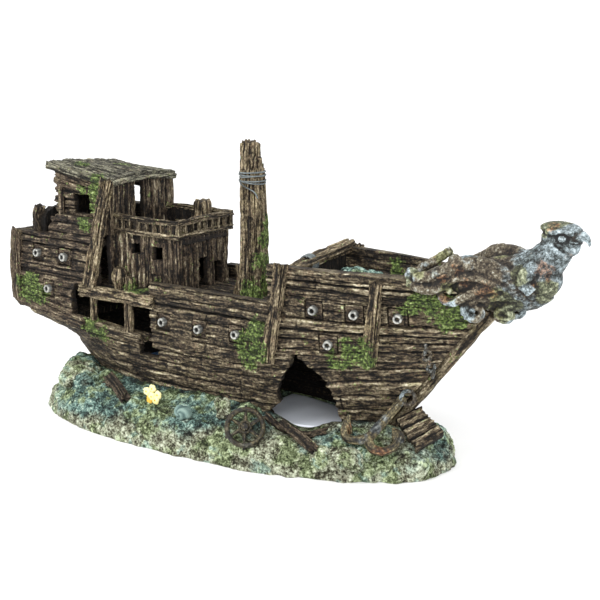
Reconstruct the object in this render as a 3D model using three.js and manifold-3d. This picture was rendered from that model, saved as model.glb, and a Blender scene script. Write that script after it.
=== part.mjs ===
// A wrecked galleon on a rocky seabed: an aquarium ornament of cast-resin pieces, with an air stone inside its hull.
// Millimetres. +X points to the bow, +Y to port and +Z up. The seabed's flat underside is at Z = 0.
import * as THREE from "three";
import { mergeVertices } from "three/addons/utils/BufferGeometryUtils.js";
import Module from "manifold-3d";

const wasm = await Module();
wasm.setup();

// ---- Driving dimensions

const HULL_LENGTH = 254; // transom to the head of the stem, under the figurehead
const AFT_X = -148; // the transom's outer face
const BEAM = 57; // widest breadth of the hull
const WALL = 3; // every shell, bulkhead and cabin wall
const GAP = 0.3; // glue line between two pieces

const SEABED_LENGTH = HULL_LENGTH - 31; // both ends of the hull overhang it
const SEABED_WIDTH = 108;
const SEABED_X = AFT_X + 0.4843 * HULL_LENGTH; // its widest station
const SEABED_AFT_SHARE = 0.489; // of its length, abaft that station
const SEABED_HEIGHT = 22;

const FLOOR_Z = 14; // ledge in the seabed that the hull stands on
const LEDGE_WIDTH = 4.5; // of that ledge, beyond the thickness of the hull
const WALE_Z = 40; // lowest point of the strake between lower hull and upper works
const WALE_AFT_RISE = 9;
const WALE_BOW_RISE = 8;
const DECK_Z = 64;
const WAIST_RAIL_Z = 70;
const BOW_RAIL_Z = 86;
const FORE_DECK_Z = 78;
const CASTLE_Z = 85; // poop deck, and top of the castle's lower tier
const CASTLE_TIER_Z = 95; // top of the castle's upper tier
const EAVE_Z = 111; // underside of the poop roof at its front edge
const ROOF_PITCH = 0.15; // rise of the starboard eave towards the stern
const ROOF_LEAN = 1; // how far the port eave lies below the starboard one at the cabin's front
const ROOF_TWIST = 2.6; // and how much further at its stern
const BALUSTRADE_Z = 89;
const BALUSTRADE_HEIGHT = 8.5;
const DECK_THICKNESS = 3;
const LEDGE_TOP_Z = 63; // walkway outside the deck edge, over the gallery
const LEDGE_HEIGHT = 5;

const STEM_RAKE = 0.815; // forward lean of the stem, per unit of height
const STEM_FOOT_X = AFT_X + HULL_LENGTH - 44.8; // the stem's leading edge at FLOOR_Z
const STEM_WIDTH = 4.6;
const STEM_DEPTH = 5;
const POST_RAKE = 1.05;
const POST_FOOT_X = -113.9; // the sternpost's trailing edge at FLOOR_Z

const POOP_SETBACK = 7.5; // from the widest breadth of the hull to the cabin's side
const POOP_WIDTH = BEAM - 2 * POOP_SETBACK;
const POOP_LENGTH = 34;
const ROOF_WIDTH = POOP_WIDTH + 5;
const ROOF_THICKNESS = 3;
const ROOF_CROWN = 2.3;
const ROOF_CROWN_AFT = 1;
const CABIN_WIDTH = 35.4;
const CABIN_LENGTH = 38;
const BALUSTRADE_OVERHANG = 1.4;
const RAIL_THICKNESS = 2.4;

const MAST_RADIUS = 6;
const MAST_TENON_RADIUS = 4;
const MAST_TOP_Z = 135.6;
const MAST_BREAK = 13; // drop from the splintered tip to the lower shoulder
const LASHING_Z = 118;

const PORT_SIZE = 8.4; // square gun port
const GUN_RADIUS = 2;
const GUN_BORE = 0.95;
const GUN_REACH = 1.1; // how far a muzzle stands proud of the planking
const GUN_PLATE = 1.6;

const STRAKE = 0.8; // how far the rails and wales stand proud
const TIMBER_WIDTH = 6.6; // outer ribs and corner post
const TIMBER_DEPTH = 2.6;

const WHEEL_RADIUS = 9;
const WHEEL_RIM = 1.7;
const WHEEL_SPOKES = 6;

const AIR_TUBE_RADIUS = 2.5;
const AIR_BORE = 1.2;
const AIR_CLEARANCE = 0.3;
const AIR_Z = 7; // height of the air passage above the underside
const STONE_RADIUS = 6;
const STONE_HEIGHT = 12;

// ---- Stations along the hull, as shares of its length from the transom

const at = (share) => AFT_X + share * HULL_LENGTH;
const CASTLE_STEP_X = at(0.1); // aft end of the castle's upper tier
const CASTLE_FRONT_X = at(0.252); // castle front, where the poop cabin's face stands
const CASTLE_BREAK_X = at(0.165); // broken edge of the castle's side above the gallery
const GALLERY_FORE_X = at(0.335);
const WAIST_AFT_X = at(0.372);
const MID_RIB_X = at(0.655);
const BOW_RIB_X = at(0.829);
const FIGURE_X = at(0.985); // where the bow planking stops under the figurehead
const MAST_X = at(0.52);
const WAIST_GUNS = [at(0.402), at(0.486), at(0.57)];
const BOW_GUNS = [at(0.726), at(0.797), at(0.868)];
const BOW_LOW_GUN = at(0.75);
const CASTLE_GUNS = [at(0.073), at(0.148)];
const CASTLE_LOW_GUN = at(0.102);
const STONE_X = at(0.29);
const WELL_FORE_X = at(0.595); // the hull is open below abaft this station, and has a floor before it

const SIDES = [
  ["starboard", -1],
  ["port", 1],
];

// ---- Materials

const finish = (color, roughness, metalness = 0) =>
  new THREE.MeshStandardMaterial({ color, roughness, metalness });
const WOOD = finish("#5b4634", 0.85);
const DARK_WOOD = finish("#463629", 0.9);
const WEATHERED_WOOD = finish("#76624a", 0.85);
const ROCK = finish("#6f8580", 0.95);
const CORAL = finish("#bdbfa6", 0.95);
const YELLOW = finish("#efe08a", 0.7);
const GUN_METAL = finish("#8b8f90", 0.6, 0.2);
const PATINA = finish("#7f97a0", 0.7, 0.1);
const RUST = finish("#6b5a45", 0.8, 0.2);
const ROPE = finish("#6f7679", 0.9);
const CLEAR_PLASTIC = finish("#c9d4d6", 0.3);
const STONE = finish("#5f7fa0", 1);

const ornament = new THREE.Group();

// ---- Solids

const { lerp, clamp, smoothstep, degToRad } = THREE.MathUtils;

// A closed three.js geometry as a solid, with its faces turned outwards.
function solid(geometry) {
  const bare = geometry.index ? geometry.toNonIndexed() : geometry.clone();
  for (const name of Object.keys(bare.attributes))
    if (name !== "position") bare.deleteAttribute(name);
  const merged = mergeVertices(bare, 1e-4);
  const vertProperties = merged.attributes.position.array;
  const triVerts = new Uint32Array(merged.index.array);
  const made = new wasm.Manifold(new wasm.Mesh({ numProp: 3, vertProperties, triVerts }));
  return made.volume() > 0
    ? made
    : new wasm.Manifold(
        new wasm.Mesh({ numProp: 3, vertProperties, triVerts: triVerts.slice().reverse() }),
      );
}

// Adds a solid to the ornament as one named mesh.
function add(name, made, material) {
  const { vertProperties, triVerts, numProp, numVert } = made.getMesh();
  const points = new Float32Array(numVert * 3);
  for (let i = 0; i < numVert; i++)
    points.set(vertProperties.subarray(i * numProp, i * numProp + 3), i * 3);
  const geometry = new THREE.BufferGeometry()
    .setAttribute("position", new THREE.BufferAttribute(points, 3))
    .setIndex(new THREE.BufferAttribute(triVerts, 1));
  geometry.computeVertexNormals();
  const mesh = new THREE.Mesh(geometry, material);
  mesh.name = name;
  ornament.add(mesh);
}

// A box from its lowest to its highest corner.
function box([x0, y0, z0], [x1, y1, z1]) {
  const geometry = new THREE.BoxGeometry(x1 - x0, y1 - y0, z1 - z0);
  return solid(geometry.translate((x0 + x1) / 2, (y0 + y1) / 2, (z0 + z1) / 2));
}

// A box bent to shape: place(u, v, w) gives the point for the shares u, v and w of its three sides.
function bent(nu, nv, nw, place) {
  const geometry = new THREE.BoxGeometry(1, 1, 1, nu, nv, nw).translate(0.5, 0.5, 0.5);
  const position = geometry.attributes.position;
  for (let i = 0; i < position.count; i++)
    position.setXYZ(i, ...place(position.getX(i), position.getY(i), position.getZ(i)));
  return solid(geometry);
}

// A straight timber of rectangular section between two points, its width turned about its own length.
function timber(from, to, width, depth, turn = 0) {
  const a = new THREE.Vector3(...from);
  const b = new THREE.Vector3(...to);
  const along = b.clone().sub(a);
  const geometry = new THREE.BoxGeometry(width, depth, along.length());
  geometry.rotateZ(turn);
  geometry.applyQuaternion(
    new THREE.Quaternion().setFromUnitVectors(new THREE.Vector3(0, 0, 1), along.clone().normalize()),
  );
  const middle = a.add(b).multiplyScalar(0.5);
  return solid(geometry.translate(middle.x, middle.y, middle.z));
}

// A round bar between two points, with a radius at each end.
function bar(from, to, r0, r1 = r0, sides = 12) {
  const a = new THREE.Vector3(...from);
  const b = new THREE.Vector3(...to);
  const along = b.clone().sub(a);
  const geometry = new THREE.CylinderGeometry(r1, r0, along.length(), sides);
  geometry.applyQuaternion(
    new THREE.Quaternion().setFromUnitVectors(new THREE.Vector3(0, 1, 0), along.clone().normalize()),
  );
  const middle = a.add(b).multiplyScalar(0.5);
  return solid(geometry.translate(middle.x, middle.y, middle.z));
}

// An ellipsoid about a centre.
function blob([x, y, z], [rx, ry, rz], detail = 2) {
  return solid(new THREE.IcosahedronGeometry(1, detail).scale(rx, ry, rz).translate(x, y, z));
}

// A ring of round section about the Y axis.
function ring(radius, thickness, around = 20, section = 6) {
  const profile = [];
  for (let i = 0; i <= section; i++) {
    const angle = (i / section) * Math.PI * 2;
    profile.push(
      new THREE.Vector2(radius + Math.cos(angle) * thickness, Math.sin(angle) * thickness),
    );
  }
  return solid(new THREE.LatheGeometry(profile, around));
}

const union = (pieces) => pieces.reduce((whole, piece) => whole.add(piece));
const without = (whole, pieces) => pieces.reduce((left, piece) => left.subtract(piece), whole);

// ---- The hull's form

const stemX = (z) => STEM_FOOT_X + STEM_RAKE * (z - FLOOR_Z);
const postX = (z) => Math.max(POST_FOOT_X - POST_RAKE * (z - FLOOR_Z), AFT_X + STEM_DEPTH);

// The strake that parts the lower hull from the upper works dips amidships and rises to both ends.
function waleZ(x) {
  const low = at(0.386);
  return x < low
    ? WALE_Z + WALE_AFT_RISE * ((low - x) / (low - AFT_X)) ** 2
    : WALE_Z + WALE_BOW_RISE * ((x - low) / (0.512 * HULL_LENGTH)) ** 1.5;
}

// Half the hull's breadth: full amidships, fine at the stem and the sternpost, broad at the transom.
function halfBeam(x, z) {
  const belly = 2.4 * WALE_Z;
  const level = (z - 1.3 * WALE_Z) / belly;
  const middle = (BEAM / 2) * (1 - (level < 0 ? 1.3 : 0.25) * level ** 2);
  const run = lerp(0.27, 0.41, smoothstep(z, FLOOR_Z, BOW_RAIL_Z)) * HULL_LENGTH;
  const bow = 1 - (1 - clamp((stemX(z) - x) / run, 0, 1)) ** 1.9;
  const tuck = 1 - (1 - clamp((x - postX(z)) / (0.3 * HULL_LENGTH), 0, 1)) ** 2.2;
  const counter = 0.88 + 0.12 * clamp((x - AFT_X) / (0.25 * HULL_LENGTH), 0, 1);
  const stern = lerp(tuck, counter, smoothstep(z, 0.72 * WALE_Z, 1.2 * WALE_Z));
  return lerp(STEM_WIDTH / 2, middle, bow * stern);
}

// A panel of the hull's side. x0 and x1 give its ends at a height, z0 and z1 its edges at a station, and inset
// is how far its outer face lies inside the hull's own surface.
function sidePanel(side, [x0, x1], [z0, z1], { inset = 0, wall = WALL, nx = 12, nz = 4 } = {}) {
  return bent(nx, 1, nz, (u, v, w) => {
    let x = 0;
    let z = DECK_Z;
    for (let pass = 0; pass < 4; pass++) {
      x = lerp(x0(z), x1(z), u);
      z = lerp(z0(x), z1(x), w);
    }
    return [x, side * (halfBeam(x, z) - inset - v * wall), z];
  });
}

// The whole hull as one block, grown by a clearance, for cutting what stands against it.
function hullBlock(grow, [bottom, top]) {
  return bent(36, 1, 6, (u, v, w) => {
    const z = lerp(bottom, top, w);
    const x = lerp(postX(z) - grow, stemX(z) + grow, u);
    return [x, (2 * v - 1) * (halfBeam(x, z) + grow), z];
  });
}

// The outward direction of the hull's side.
function sideNormal(side, x, z) {
  const step = 1;
  const dx = (halfBeam(x + step, z) - halfBeam(x - step, z)) / (2 * step);
  const dz = (halfBeam(x, z + step) - halfBeam(x, z - step)) / (2 * step);
  return new THREE.Vector3(-dx, side, -dz).normalize();
}

const constant = (value) => () => value;

// ---- Seabed

// Steep at its edge and flat under the hull. Its outline is fuller aft than forward.
function mound(raise) {
  const profile = [
    [0, 0],
    [1, 0],
    [0.985, 0.3],
    [0.94, 0.56],
    [0.87, 0.71],
    [0.75, 0.85],
    [0.6, 0.95],
    [0.42, 1],
    [0, 1],
  ];
  const points = profile.map(([r, z]) => new THREE.Vector2(r, z * SEABED_HEIGHT));
  const geometry = new THREE.LatheGeometry(points, 40).rotateX(Math.PI / 2);
  const position = geometry.attributes.position;
  for (let i = 0; i < position.count; i++) {
    const [x, y, z] = [position.getX(i), position.getY(i), position.getZ(i)];
    const r = Math.hypot(x, y);
    const power = x > 0 ? 2.2 : 2.5;
    const rounding = r && (Math.abs(x / r) ** power + Math.abs(y / r) ** power) ** (-1 / power);
    const half = SEABED_LENGTH * (x > 0 ? 1 - SEABED_AFT_SHARE : SEABED_AFT_SHARE);
    position.setXYZ(i, SEABED_X + x * rounding * half, (y * rounding * SEABED_WIDTH) / 2, z + raise);
  }
  return solid(geometry);
}

const raisedMound = mound(GAP);
const hullPocket = hullBlock(GAP, [FLOOR_Z, SEABED_HEIGHT + GAP]);
const grownHull = hullBlock(GAP, [FLOOR_Z, BOW_RAIL_Z]);

// A piece that lies on the seabed, trimmed to the mound and to the hull beside it.
const bedded = (piece) => without(piece, [raisedMound, grownHull]);

const airInletY = SEABED_WIDTH / 2 - 9; // face of the notch that holds the air nipple
const airHole = AIR_TUBE_RADIUS + AIR_CLEARANCE;

function seabed() {
  const channel = union([
    bar([STONE_X, -airHole, AIR_Z], [STONE_X, airInletY + 1, AIR_Z], airHole),
    bar([STONE_X, 0, AIR_Z], [STONE_X, 0, FLOOR_Z + 1], airHole),
    box([STONE_X - 8, airInletY, -1], [STONE_X + 8, SEABED_WIDTH, AIR_Z + 8]),
  ]);
  // Abaft the breach the hull is open below, down to the table.
  const inside = WALL + LEDGE_WIDTH;
  const well = bent(24, 1, 1, (u, v, w) => {
    const x = lerp(postX(FLOOR_Z) + STEM_DEPTH + inside, WELL_FORE_X, u);
    return [x, (2 * v - 1) * Math.max(halfBeam(x, FLOOR_Z) - inside, 1), lerp(-1, FLOOR_Z + 1, w)];
  });
  add("seabed", without(mound(0), [hullPocket, channel, well]), ROCK);
}

function airLine() {
  const elbow = [STONE_X, 0, AIR_Z];
  const tube = union([
    bar(elbow, [STONE_X, airInletY - 12, AIR_Z], AIR_TUBE_RADIUS),
    bar(elbow, [STONE_X, 0, FLOOR_Z + 3], AIR_TUBE_RADIUS),
    blob(elbow, [AIR_TUBE_RADIUS, AIR_TUBE_RADIUS, AIR_TUBE_RADIUS], 1),
  ]);
  const bore = union([
    bar(elbow, [STONE_X, airInletY, AIR_Z], AIR_BORE, AIR_BORE, 8),
    bar(elbow, [STONE_X, 0, FLOOR_Z + 5], AIR_BORE, AIR_BORE, 8),
  ]);
  add("air_tube", without(tube, [bore]), CLEAR_PLASTIC);

  const start = airInletY - 12 + GAP;
  const nipple = union([
    bar([STONE_X, start, AIR_Z], [STONE_X, airInletY + 6, AIR_Z], 2),
    bar([STONE_X, airInletY + GAP, AIR_Z], [STONE_X, airInletY + 1.5, AIR_Z], 4.5, 4.5, 16),
    bar([STONE_X, airInletY + 3, AIR_Z], [STONE_X, airInletY + 4.5, AIR_Z], 2.7, 2),
    bar([STONE_X, airInletY + 5, AIR_Z], [STONE_X, airInletY + 6.5, AIR_Z], 2.7, 2),
  ]);
  const nippleBore = bar([STONE_X, start - 1, AIR_Z], [STONE_X, airInletY + 8, AIR_Z], AIR_BORE, AIR_BORE, 8);
  add("air_nipple", without(nipple, [nippleBore]), CLEAR_PLASTIC);

  const foot = FLOOR_Z + GAP;
  const stone = bar([STONE_X, 0, foot], [STONE_X, 0, foot + STONE_HEIGHT], STONE_RADIUS, STONE_RADIUS - 1, 16);
  const socket = bar([STONE_X, 0, foot - 1], [STONE_X, 0, FLOOR_Z + 6], airHole);
  add("air_stone", without(stone, [socket]), STONE);
}

// ---- Lower hull

const BREACH_TOP_X = at(0.68);
const BREACH_HEIGHT = WALE_Z + 6 - FLOOR_Z;
const breachShare = (z) => clamp((z - FLOOR_Z) / BREACH_HEIGHT, 0, 1);
const breachAftX = (z) => BREACH_TOP_X - lerp(8, 1, smoothstep(breachShare(z), 0.45, 1));
const breachForeX = (z) => BREACH_TOP_X + lerp(18, 2, breachShare(z) ** 4.5);
const hullFoot = constant(FLOOR_Z + GAP);
const hullTop = (x) => waleZ(x) - GAP;

function lowerHull() {
  const aftEnd = (z) => postX(z) + STEM_DEPTH + GAP;
  const foreEnd = (z) => stemX(z) - STEM_DEPTH - GAP;
  const notch = box(
    [GALLERY_FORE_X, -BEAM, WALE_Z - 7],
    [WAIST_AFT_X + 2, 0, BOW_RAIL_Z],
  );
  const aft = sidePanel(-1, [aftEnd, breachAftX], [hullFoot, hullTop], { nx: 16 });
  add("hull_starboard_aft", aft.subtract(notch), WOOD);
  const fore = sidePanel(-1, [breachForeX, foreEnd], [hullFoot, hullTop], { nx: 10 });
  add("hull_starboard_fore", fore, WOOD);
  add("hull_port", sidePanel(1, [aftEnd, foreEnd], [hullFoot, hullTop], { nx: 24 }), WOOD);
}

// The stem and the sternpost: flat timbers on the centreline that follow the ends of the hull.
function endPosts() {
  const stemTop = WAIST_RAIL_Z + 2;
  const stem = bent(1, 1, 1, (u, v, w) => {
    const z = lerp(FLOOR_Z + GAP, stemTop, w);
    return [stemX(z) - STEM_DEPTH * (1 - u), (v - 0.5) * STEM_WIDTH, z];
  });
  add("stem_post", stem, WOOD);
  const postTop = waleZ(AFT_X + STEM_DEPTH) - WALL;
  const post = bent(1, 1, 6, (u, v, w) => {
    const z = lerp(FLOOR_Z + GAP, postTop, w);
    return [postX(z) + STEM_DEPTH * u, (v - 0.5) * STEM_WIDTH, z];
  });
  add("stern_post", post, WOOD);
}

// ---- Upper works

const gunZ = (x) => waleZ(x) + 11.5; // upper row, above the wale
const BOW_GUN_Z = 69;
const BOW_LOW_GUN_Z = 54.5;
const CASTLE_GUN_Z = 75;
const CASTLE_LOW_GUN_Z = 58;

const waistGuns = WAIST_GUNS.map((x) => [x, gunZ(x)]);
const bowGuns = [...BOW_GUNS.map((x) => [x, BOW_GUN_Z]), [BOW_LOW_GUN, BOW_LOW_GUN_Z]];
const castleGuns = [...CASTLE_GUNS.map((x) => [x, CASTLE_GUN_Z]), [CASTLE_LOW_GUN, CASTLE_LOW_GUN_Z]];

// Square ports through a side panel.
const ports = (side, guns) =>
  guns.map(([x, z]) => {
    const y = side * halfBeam(x, z);
    const half = PORT_SIZE / 2;
    return box([x - half, y - 3 * WALL, z - half], [x + half, y + 3 * WALL, z + half]);
  });

// The backing strip behind a row of ports, with a muzzle standing in each port.
function gunRow(side, guns) {
  const xs = guns.map(([x]) => x);
  const zs = guns.map(([, z]) => z);
  const margin = PORT_SIZE / 2 + 1.2;
  const inset = WALL + GAP;
  const back = sidePanel(
    side,
    [constant(Math.min(...xs) - margin), (z) => Math.min(Math.max(...xs) + margin, stemX(z) - 2 * STEM_DEPTH)],
    [constant(Math.min(...zs) - margin), constant(Math.max(...zs) + margin)],
    { inset, wall: GUN_PLATE, nx: 6, nz: 1 },
  );
  const muzzles = guns.map(([x, z]) => {
    const normal = sideNormal(side, x, z);
    const skin = new THREE.Vector3(x, side * halfBeam(x, z), z);
    const breech = skin.clone().addScaledVector(normal, -inset - GUN_PLATE / 2);
    const lip = skin.clone().addScaledVector(normal, GUN_REACH);
    const mouth = skin.clone().addScaledVector(normal, GUN_REACH + 1);
    const throat = skin.clone().addScaledVector(normal, -1);
    const barrel = bar(breech.toArray(), lip.toArray(), GUN_RADIUS * 0.85, GUN_RADIUS, 10);
    return barrel.subtract(bar(throat.toArray(), mouth.toArray(), GUN_BORE, GUN_BORE, 8));
  });
  return union([back, ...muzzles]);
}

// A plank that stands proud of the hull's side.
const strake = (side, [x0, x1], [z0, z1]) =>
  sidePanel(side, [constant(x0), constant(x1)], [constant(z0), constant(z1)], {
    inset: -STRAKE,
    wall: STRAKE + 1,
    nz: 1,
  });

const ribFoot = (x) => x - 3.5; // the ribs lean forward as they rise
const waistForeX = ribFoot(MID_RIB_X) - TIMBER_WIDTH / 2 - GAP;
const aboveWale = (x) => waleZ(x) + GAP;

function upperSides() {
  for (const [word, side] of SIDES) {
    const waist = sidePanel(
      side,
      [constant(WAIST_AFT_X), constant(waistForeX)],
      [aboveWale, constant(WAIST_RAIL_Z)],
      { nx: 8 },
    );
    const waistRail = strake(side, [WAIST_AFT_X, waistForeX], [WAIST_RAIL_Z - 9, WAIST_RAIL_Z]);
    const waistShell = without(waist.add(waistRail), [midRib(side, GAP), ...ports(side, waistGuns)]);
    add(`waist_side_${word}`, waistShell, WOOD);

    const foreEnd = (z) => Math.min(stemX(z) - STEM_DEPTH - GAP, FIGURE_X);
    const bow = sidePanel(
      side,
      [constant(ribFoot(MID_RIB_X) - TIMBER_WIDTH / 2), foreEnd],
      [aboveWale, constant(BOW_RAIL_Z)],
      { nx: 12, nz: 5 },
    );
    const bowRail = strake(side, [ribFoot(MID_RIB_X), FIGURE_X - 26], [BOW_RAIL_Z - 8.5, BOW_RAIL_Z]);
    const bowShell = without(bow.add(bowRail), [midRib(side, GAP), bowRib(side, GAP), ...ports(side, bowGuns)]);
    add(`bow_side_${word}`, bowShell, WOOD);

    const tiers = [
      sidePanel(side, [constant(AFT_X), constant(CASTLE_FRONT_X - 1.5 * WALL)], [aboveWale, constant(CASTLE_Z)], {
        nx: 8,
      }),
      sidePanel(
        side,
        [constant(CASTLE_STEP_X), constant(CASTLE_FRONT_X - 1.5 * WALL)],
        [constant(CASTLE_Z - 1), constant(CASTLE_TIER_Z)],
        { nx: 4, nz: 1 },
      ),
    ];
    tiers.push(strake(side, [AFT_X, CASTLE_FRONT_X - 1.5 * WALL], [CASTLE_Z - 4.5, CASTLE_Z]));
    tiers.push(strake(side, [AFT_X, CASTLE_BREAK_X], [WALE_Z + 2 * WALE_AFT_RISE, WALE_Z + 2.5 * WALE_AFT_RISE]));
    // To starboard the planks over the gallery are gone. To port they run on to the waist.
    const opened = box([CASTLE_BREAK_X, -BEAM, 0], [CASTLE_FRONT_X, 0, LEDGE_TOP_Z + GAP]);
    const quarter = sidePanel(
      1,
      [constant(CASTLE_FRONT_X - 2 * WALL), constant(WAIST_AFT_X - GAP)],
      [aboveWale, constant(DECK_Z + 3)],
      { nx: 5 },
    );
    const shell = side < 0 ? union(tiers).subtract(opened) : union([...tiers, quarter]);
    add(`castle_side_${word}`, without(shell, ports(side, castleGuns)), WOOD);

    add(`castle_guns_${word}`, gunRow(side, castleGuns), GUN_METAL);
    add(`waist_guns_${word}`, gunRow(side, waistGuns), GUN_METAL);
    add(`bow_guns_${word}`, gunRow(side, bowGuns), GUN_METAL);
  }
}

// A rib bent to the outside of the hull, leaning forward as it rises.
function rib(side, x, [bottom, top], lean, grow = 0) {
  return bent(1, 1, 6, (u, v, w) => {
    const z = lerp(bottom - grow, top + grow, w);
    const across = (u - 0.5) * (TIMBER_WIDTH + 2 * grow);
    const middle = x + lean * (w - 0.5) * 2;
    const out = lerp(GAP - grow, GAP + TIMBER_DEPTH + grow, v);
    return [middle + across, side * (halfBeam(middle + across, z) + out), z];
  });
}

const midRib = (side, grow) => rib(side, MID_RIB_X, [WALE_Z + 4, BOW_RAIL_Z + 1], 3.5, grow);
const bowRib = (side, grow) => rib(side, BOW_RIB_X, [WALE_Z + 8, BOW_RAIL_Z - 2], 3, grow);

function ribs() {
  for (const [word, side] of SIDES) {
    add(`mid_rib_${word}`, midRib(side, 0), WEATHERED_WOOD);
    add(`bow_rib_${word}`, bowRib(side, 0), WEATHERED_WOOD);
  }
  // The castle's corner post stands on the walkway and leans forward to carry the roof.
  const foot = [CASTLE_FRONT_X - 8, -(BEAM / 2 + 1.8), LEDGE_TOP_Z - 1];
  const head = [CASTLE_FRONT_X + 2, -(ROOF_WIDTH / 2 + 2.6), EAVE_Z + ROOF_THICKNESS];
  const castle = sidePanel(-1, [constant(AFT_X), constant(CASTLE_FRONT_X)], [constant(0), constant(CASTLE_TIER_Z)], {
    inset: -STRAKE - GAP,
    wall: WALL + STRAKE + 2,
  });
  const near = [castle, poopRoof(GAP), poopBlock(GAP), poopFace(GAP), ledge(GAP)];
  add("corner_post", without(timber(foot, head, TIMBER_WIDTH, TIMBER_DEPTH * 1.6), near), WEATHERED_WOOD);
}

// ---- Decks and bulkheads

// A deck plank layer between the hull's inner faces.
function deck([x0, x1], top, side = WALL + GAP) {
  return bent(14, 1, 1, (u, v, w) => {
    const x = lerp(x0, x1, u);
    return [x, (2 * v - 1) * (halfBeam(x, top) - side), top - DECK_THICKNESS * (1 - w)];
  });
}

function decks() {
  const gunClear = WALL + GAP + GUN_PLATE + GAP;
  const mastHole = bar([MAST_X, 0, DECK_Z - 5], [MAST_X, 0, DECK_Z + 1], MAST_TENON_RADIUS + GAP);
  const main = deck([CASTLE_STEP_X, MID_RIB_X - 2], DECK_Z, gunClear);
  add("main_deck", main.subtract(mastHole), DARK_WOOD);

  const rubble = [
    [0.72, 6, 5],
    [0.79, -3, 4.5],
    [0.84, 4, 4],
  ].map(([share, y, r]) => blob([at(share), y, FORE_DECK_Z], [r * 1.6, r, r * 0.8], 1));
  const fore = deck([MID_RIB_X + WALL + GAP, at(0.95)], FORE_DECK_Z, gunClear);
  add("fore_deck", union([fore, ...rubble]), DARK_WOOD);

  // The poop deck carries the stump of the wall that closed it aft.
  const poop = deck([AFT_X + WALL + GAP, CASTLE_FRONT_X - WALL - GAP], CASTLE_Z);
  const stumpX = CASTLE_STEP_X - 9;
  const stumpY = halfBeam(stumpX, CASTLE_Z) - WALL - 2;
  const stump = box([stumpX, -stumpY, CASTLE_Z - 1], [stumpX + WALL, stumpY, CASTLE_TIER_Z + 1]);
  add("poop_deck", poop.add(stump), DARK_WOOD);

  const bulkhead = bent(1, 1, 3, (u, v, w) => {
    const z = lerp(DECK_Z + GAP, BOW_RAIL_Z - 6, w);
    const x = MID_RIB_X + WALL * u;
    return [x, (2 * v - 1) * (halfBeam(MID_RIB_X, z) - gunClear), z];
  });
  add("fore_bulkhead", bulkhead, DARK_WOOD);

  const transom = bent(1, 1, 3, (u, v, w) => {
    const z = lerp(waleZ(AFT_X) - WALL + GAP, CASTLE_Z - GAP, w);
    return [AFT_X + WALL * u, (2 * v - 1) * (halfBeam(AFT_X, z) - WALL - GAP), z];
  });
  add("transom", transom, WOOD);

  const counter = bent(3, 1, 1, (u, v, w) => {
    const x = lerp(AFT_X + WALL + GAP, CASTLE_BREAK_X, u);
    const z = waleZ(x) + GAP + WALL * w;
    return [x, (2 * v - 1) * (halfBeam(x, waleZ(x)) - WALL - 2 * GAP), z];
  });
  add("counter", counter, DARK_WOOD);
}

// ---- Cabins

const poopAftX = CASTLE_FRONT_X - POOP_LENGTH;
const roofShare = (x) => (CASTLE_FRONT_X - x) / POOP_LENGTH;

// The eaves' height, with across running from -1 at the starboard eave to 1 at the port one.
function eaveZ(x, across) {
  const fall = ROOF_LEAN + ROOF_TWIST * roofShare(x);
  return EAVE_Z + ROOF_PITCH * (CASTLE_FRONT_X - x) - (fall * (1 + across)) / 2;
}

// The poop cabin's outer block, grown by a clearance. Its top follows the roof's slope.
function poopBlock(grow) {
  const half = POOP_WIDTH / 2 + grow;
  const low = CASTLE_Z + GAP - grow;
  return bent(1, 8, 1, (u, v, w) => {
    const x = lerp(poopAftX - grow, CASTLE_FRONT_X + grow, u);
    const y = (2 * v - 1) * half;
    return [x, y, lerp(low, eaveZ(x, y / (ROOF_WIDTH / 2)) + grow, w)];
  });
}

// The cabin's front wall runs down to the main deck and out to the castle's sides.
function poopFace(grow) {
  const half = POOP_WIDTH / 2 + 1.5 + grow;
  return box(
    [CASTLE_FRONT_X - WALL - grow, -half, DECK_Z + GAP - grow],
    [CASTLE_FRONT_X + grow, half, BALUSTRADE_Z + 4 + grow],
  );
}

function poopRoof(grow) {
  const half = ROOF_WIDTH / 2 + grow;
  return bent(1, 8, 1, (u, v, w) => {
    const x = lerp(poopAftX - 7 - grow, CASTLE_FRONT_X + 2 + grow, u);
    const across = 2 * v - 1;
    const rise = lerp(ROOF_CROWN, ROOF_CROWN_AFT, roofShare(x)) * (1 - across ** 2);
    return [x, across * half, eaveZ(x, across) + GAP - grow + (ROOF_THICKNESS + grow + rise) * w];
  });
}

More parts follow.
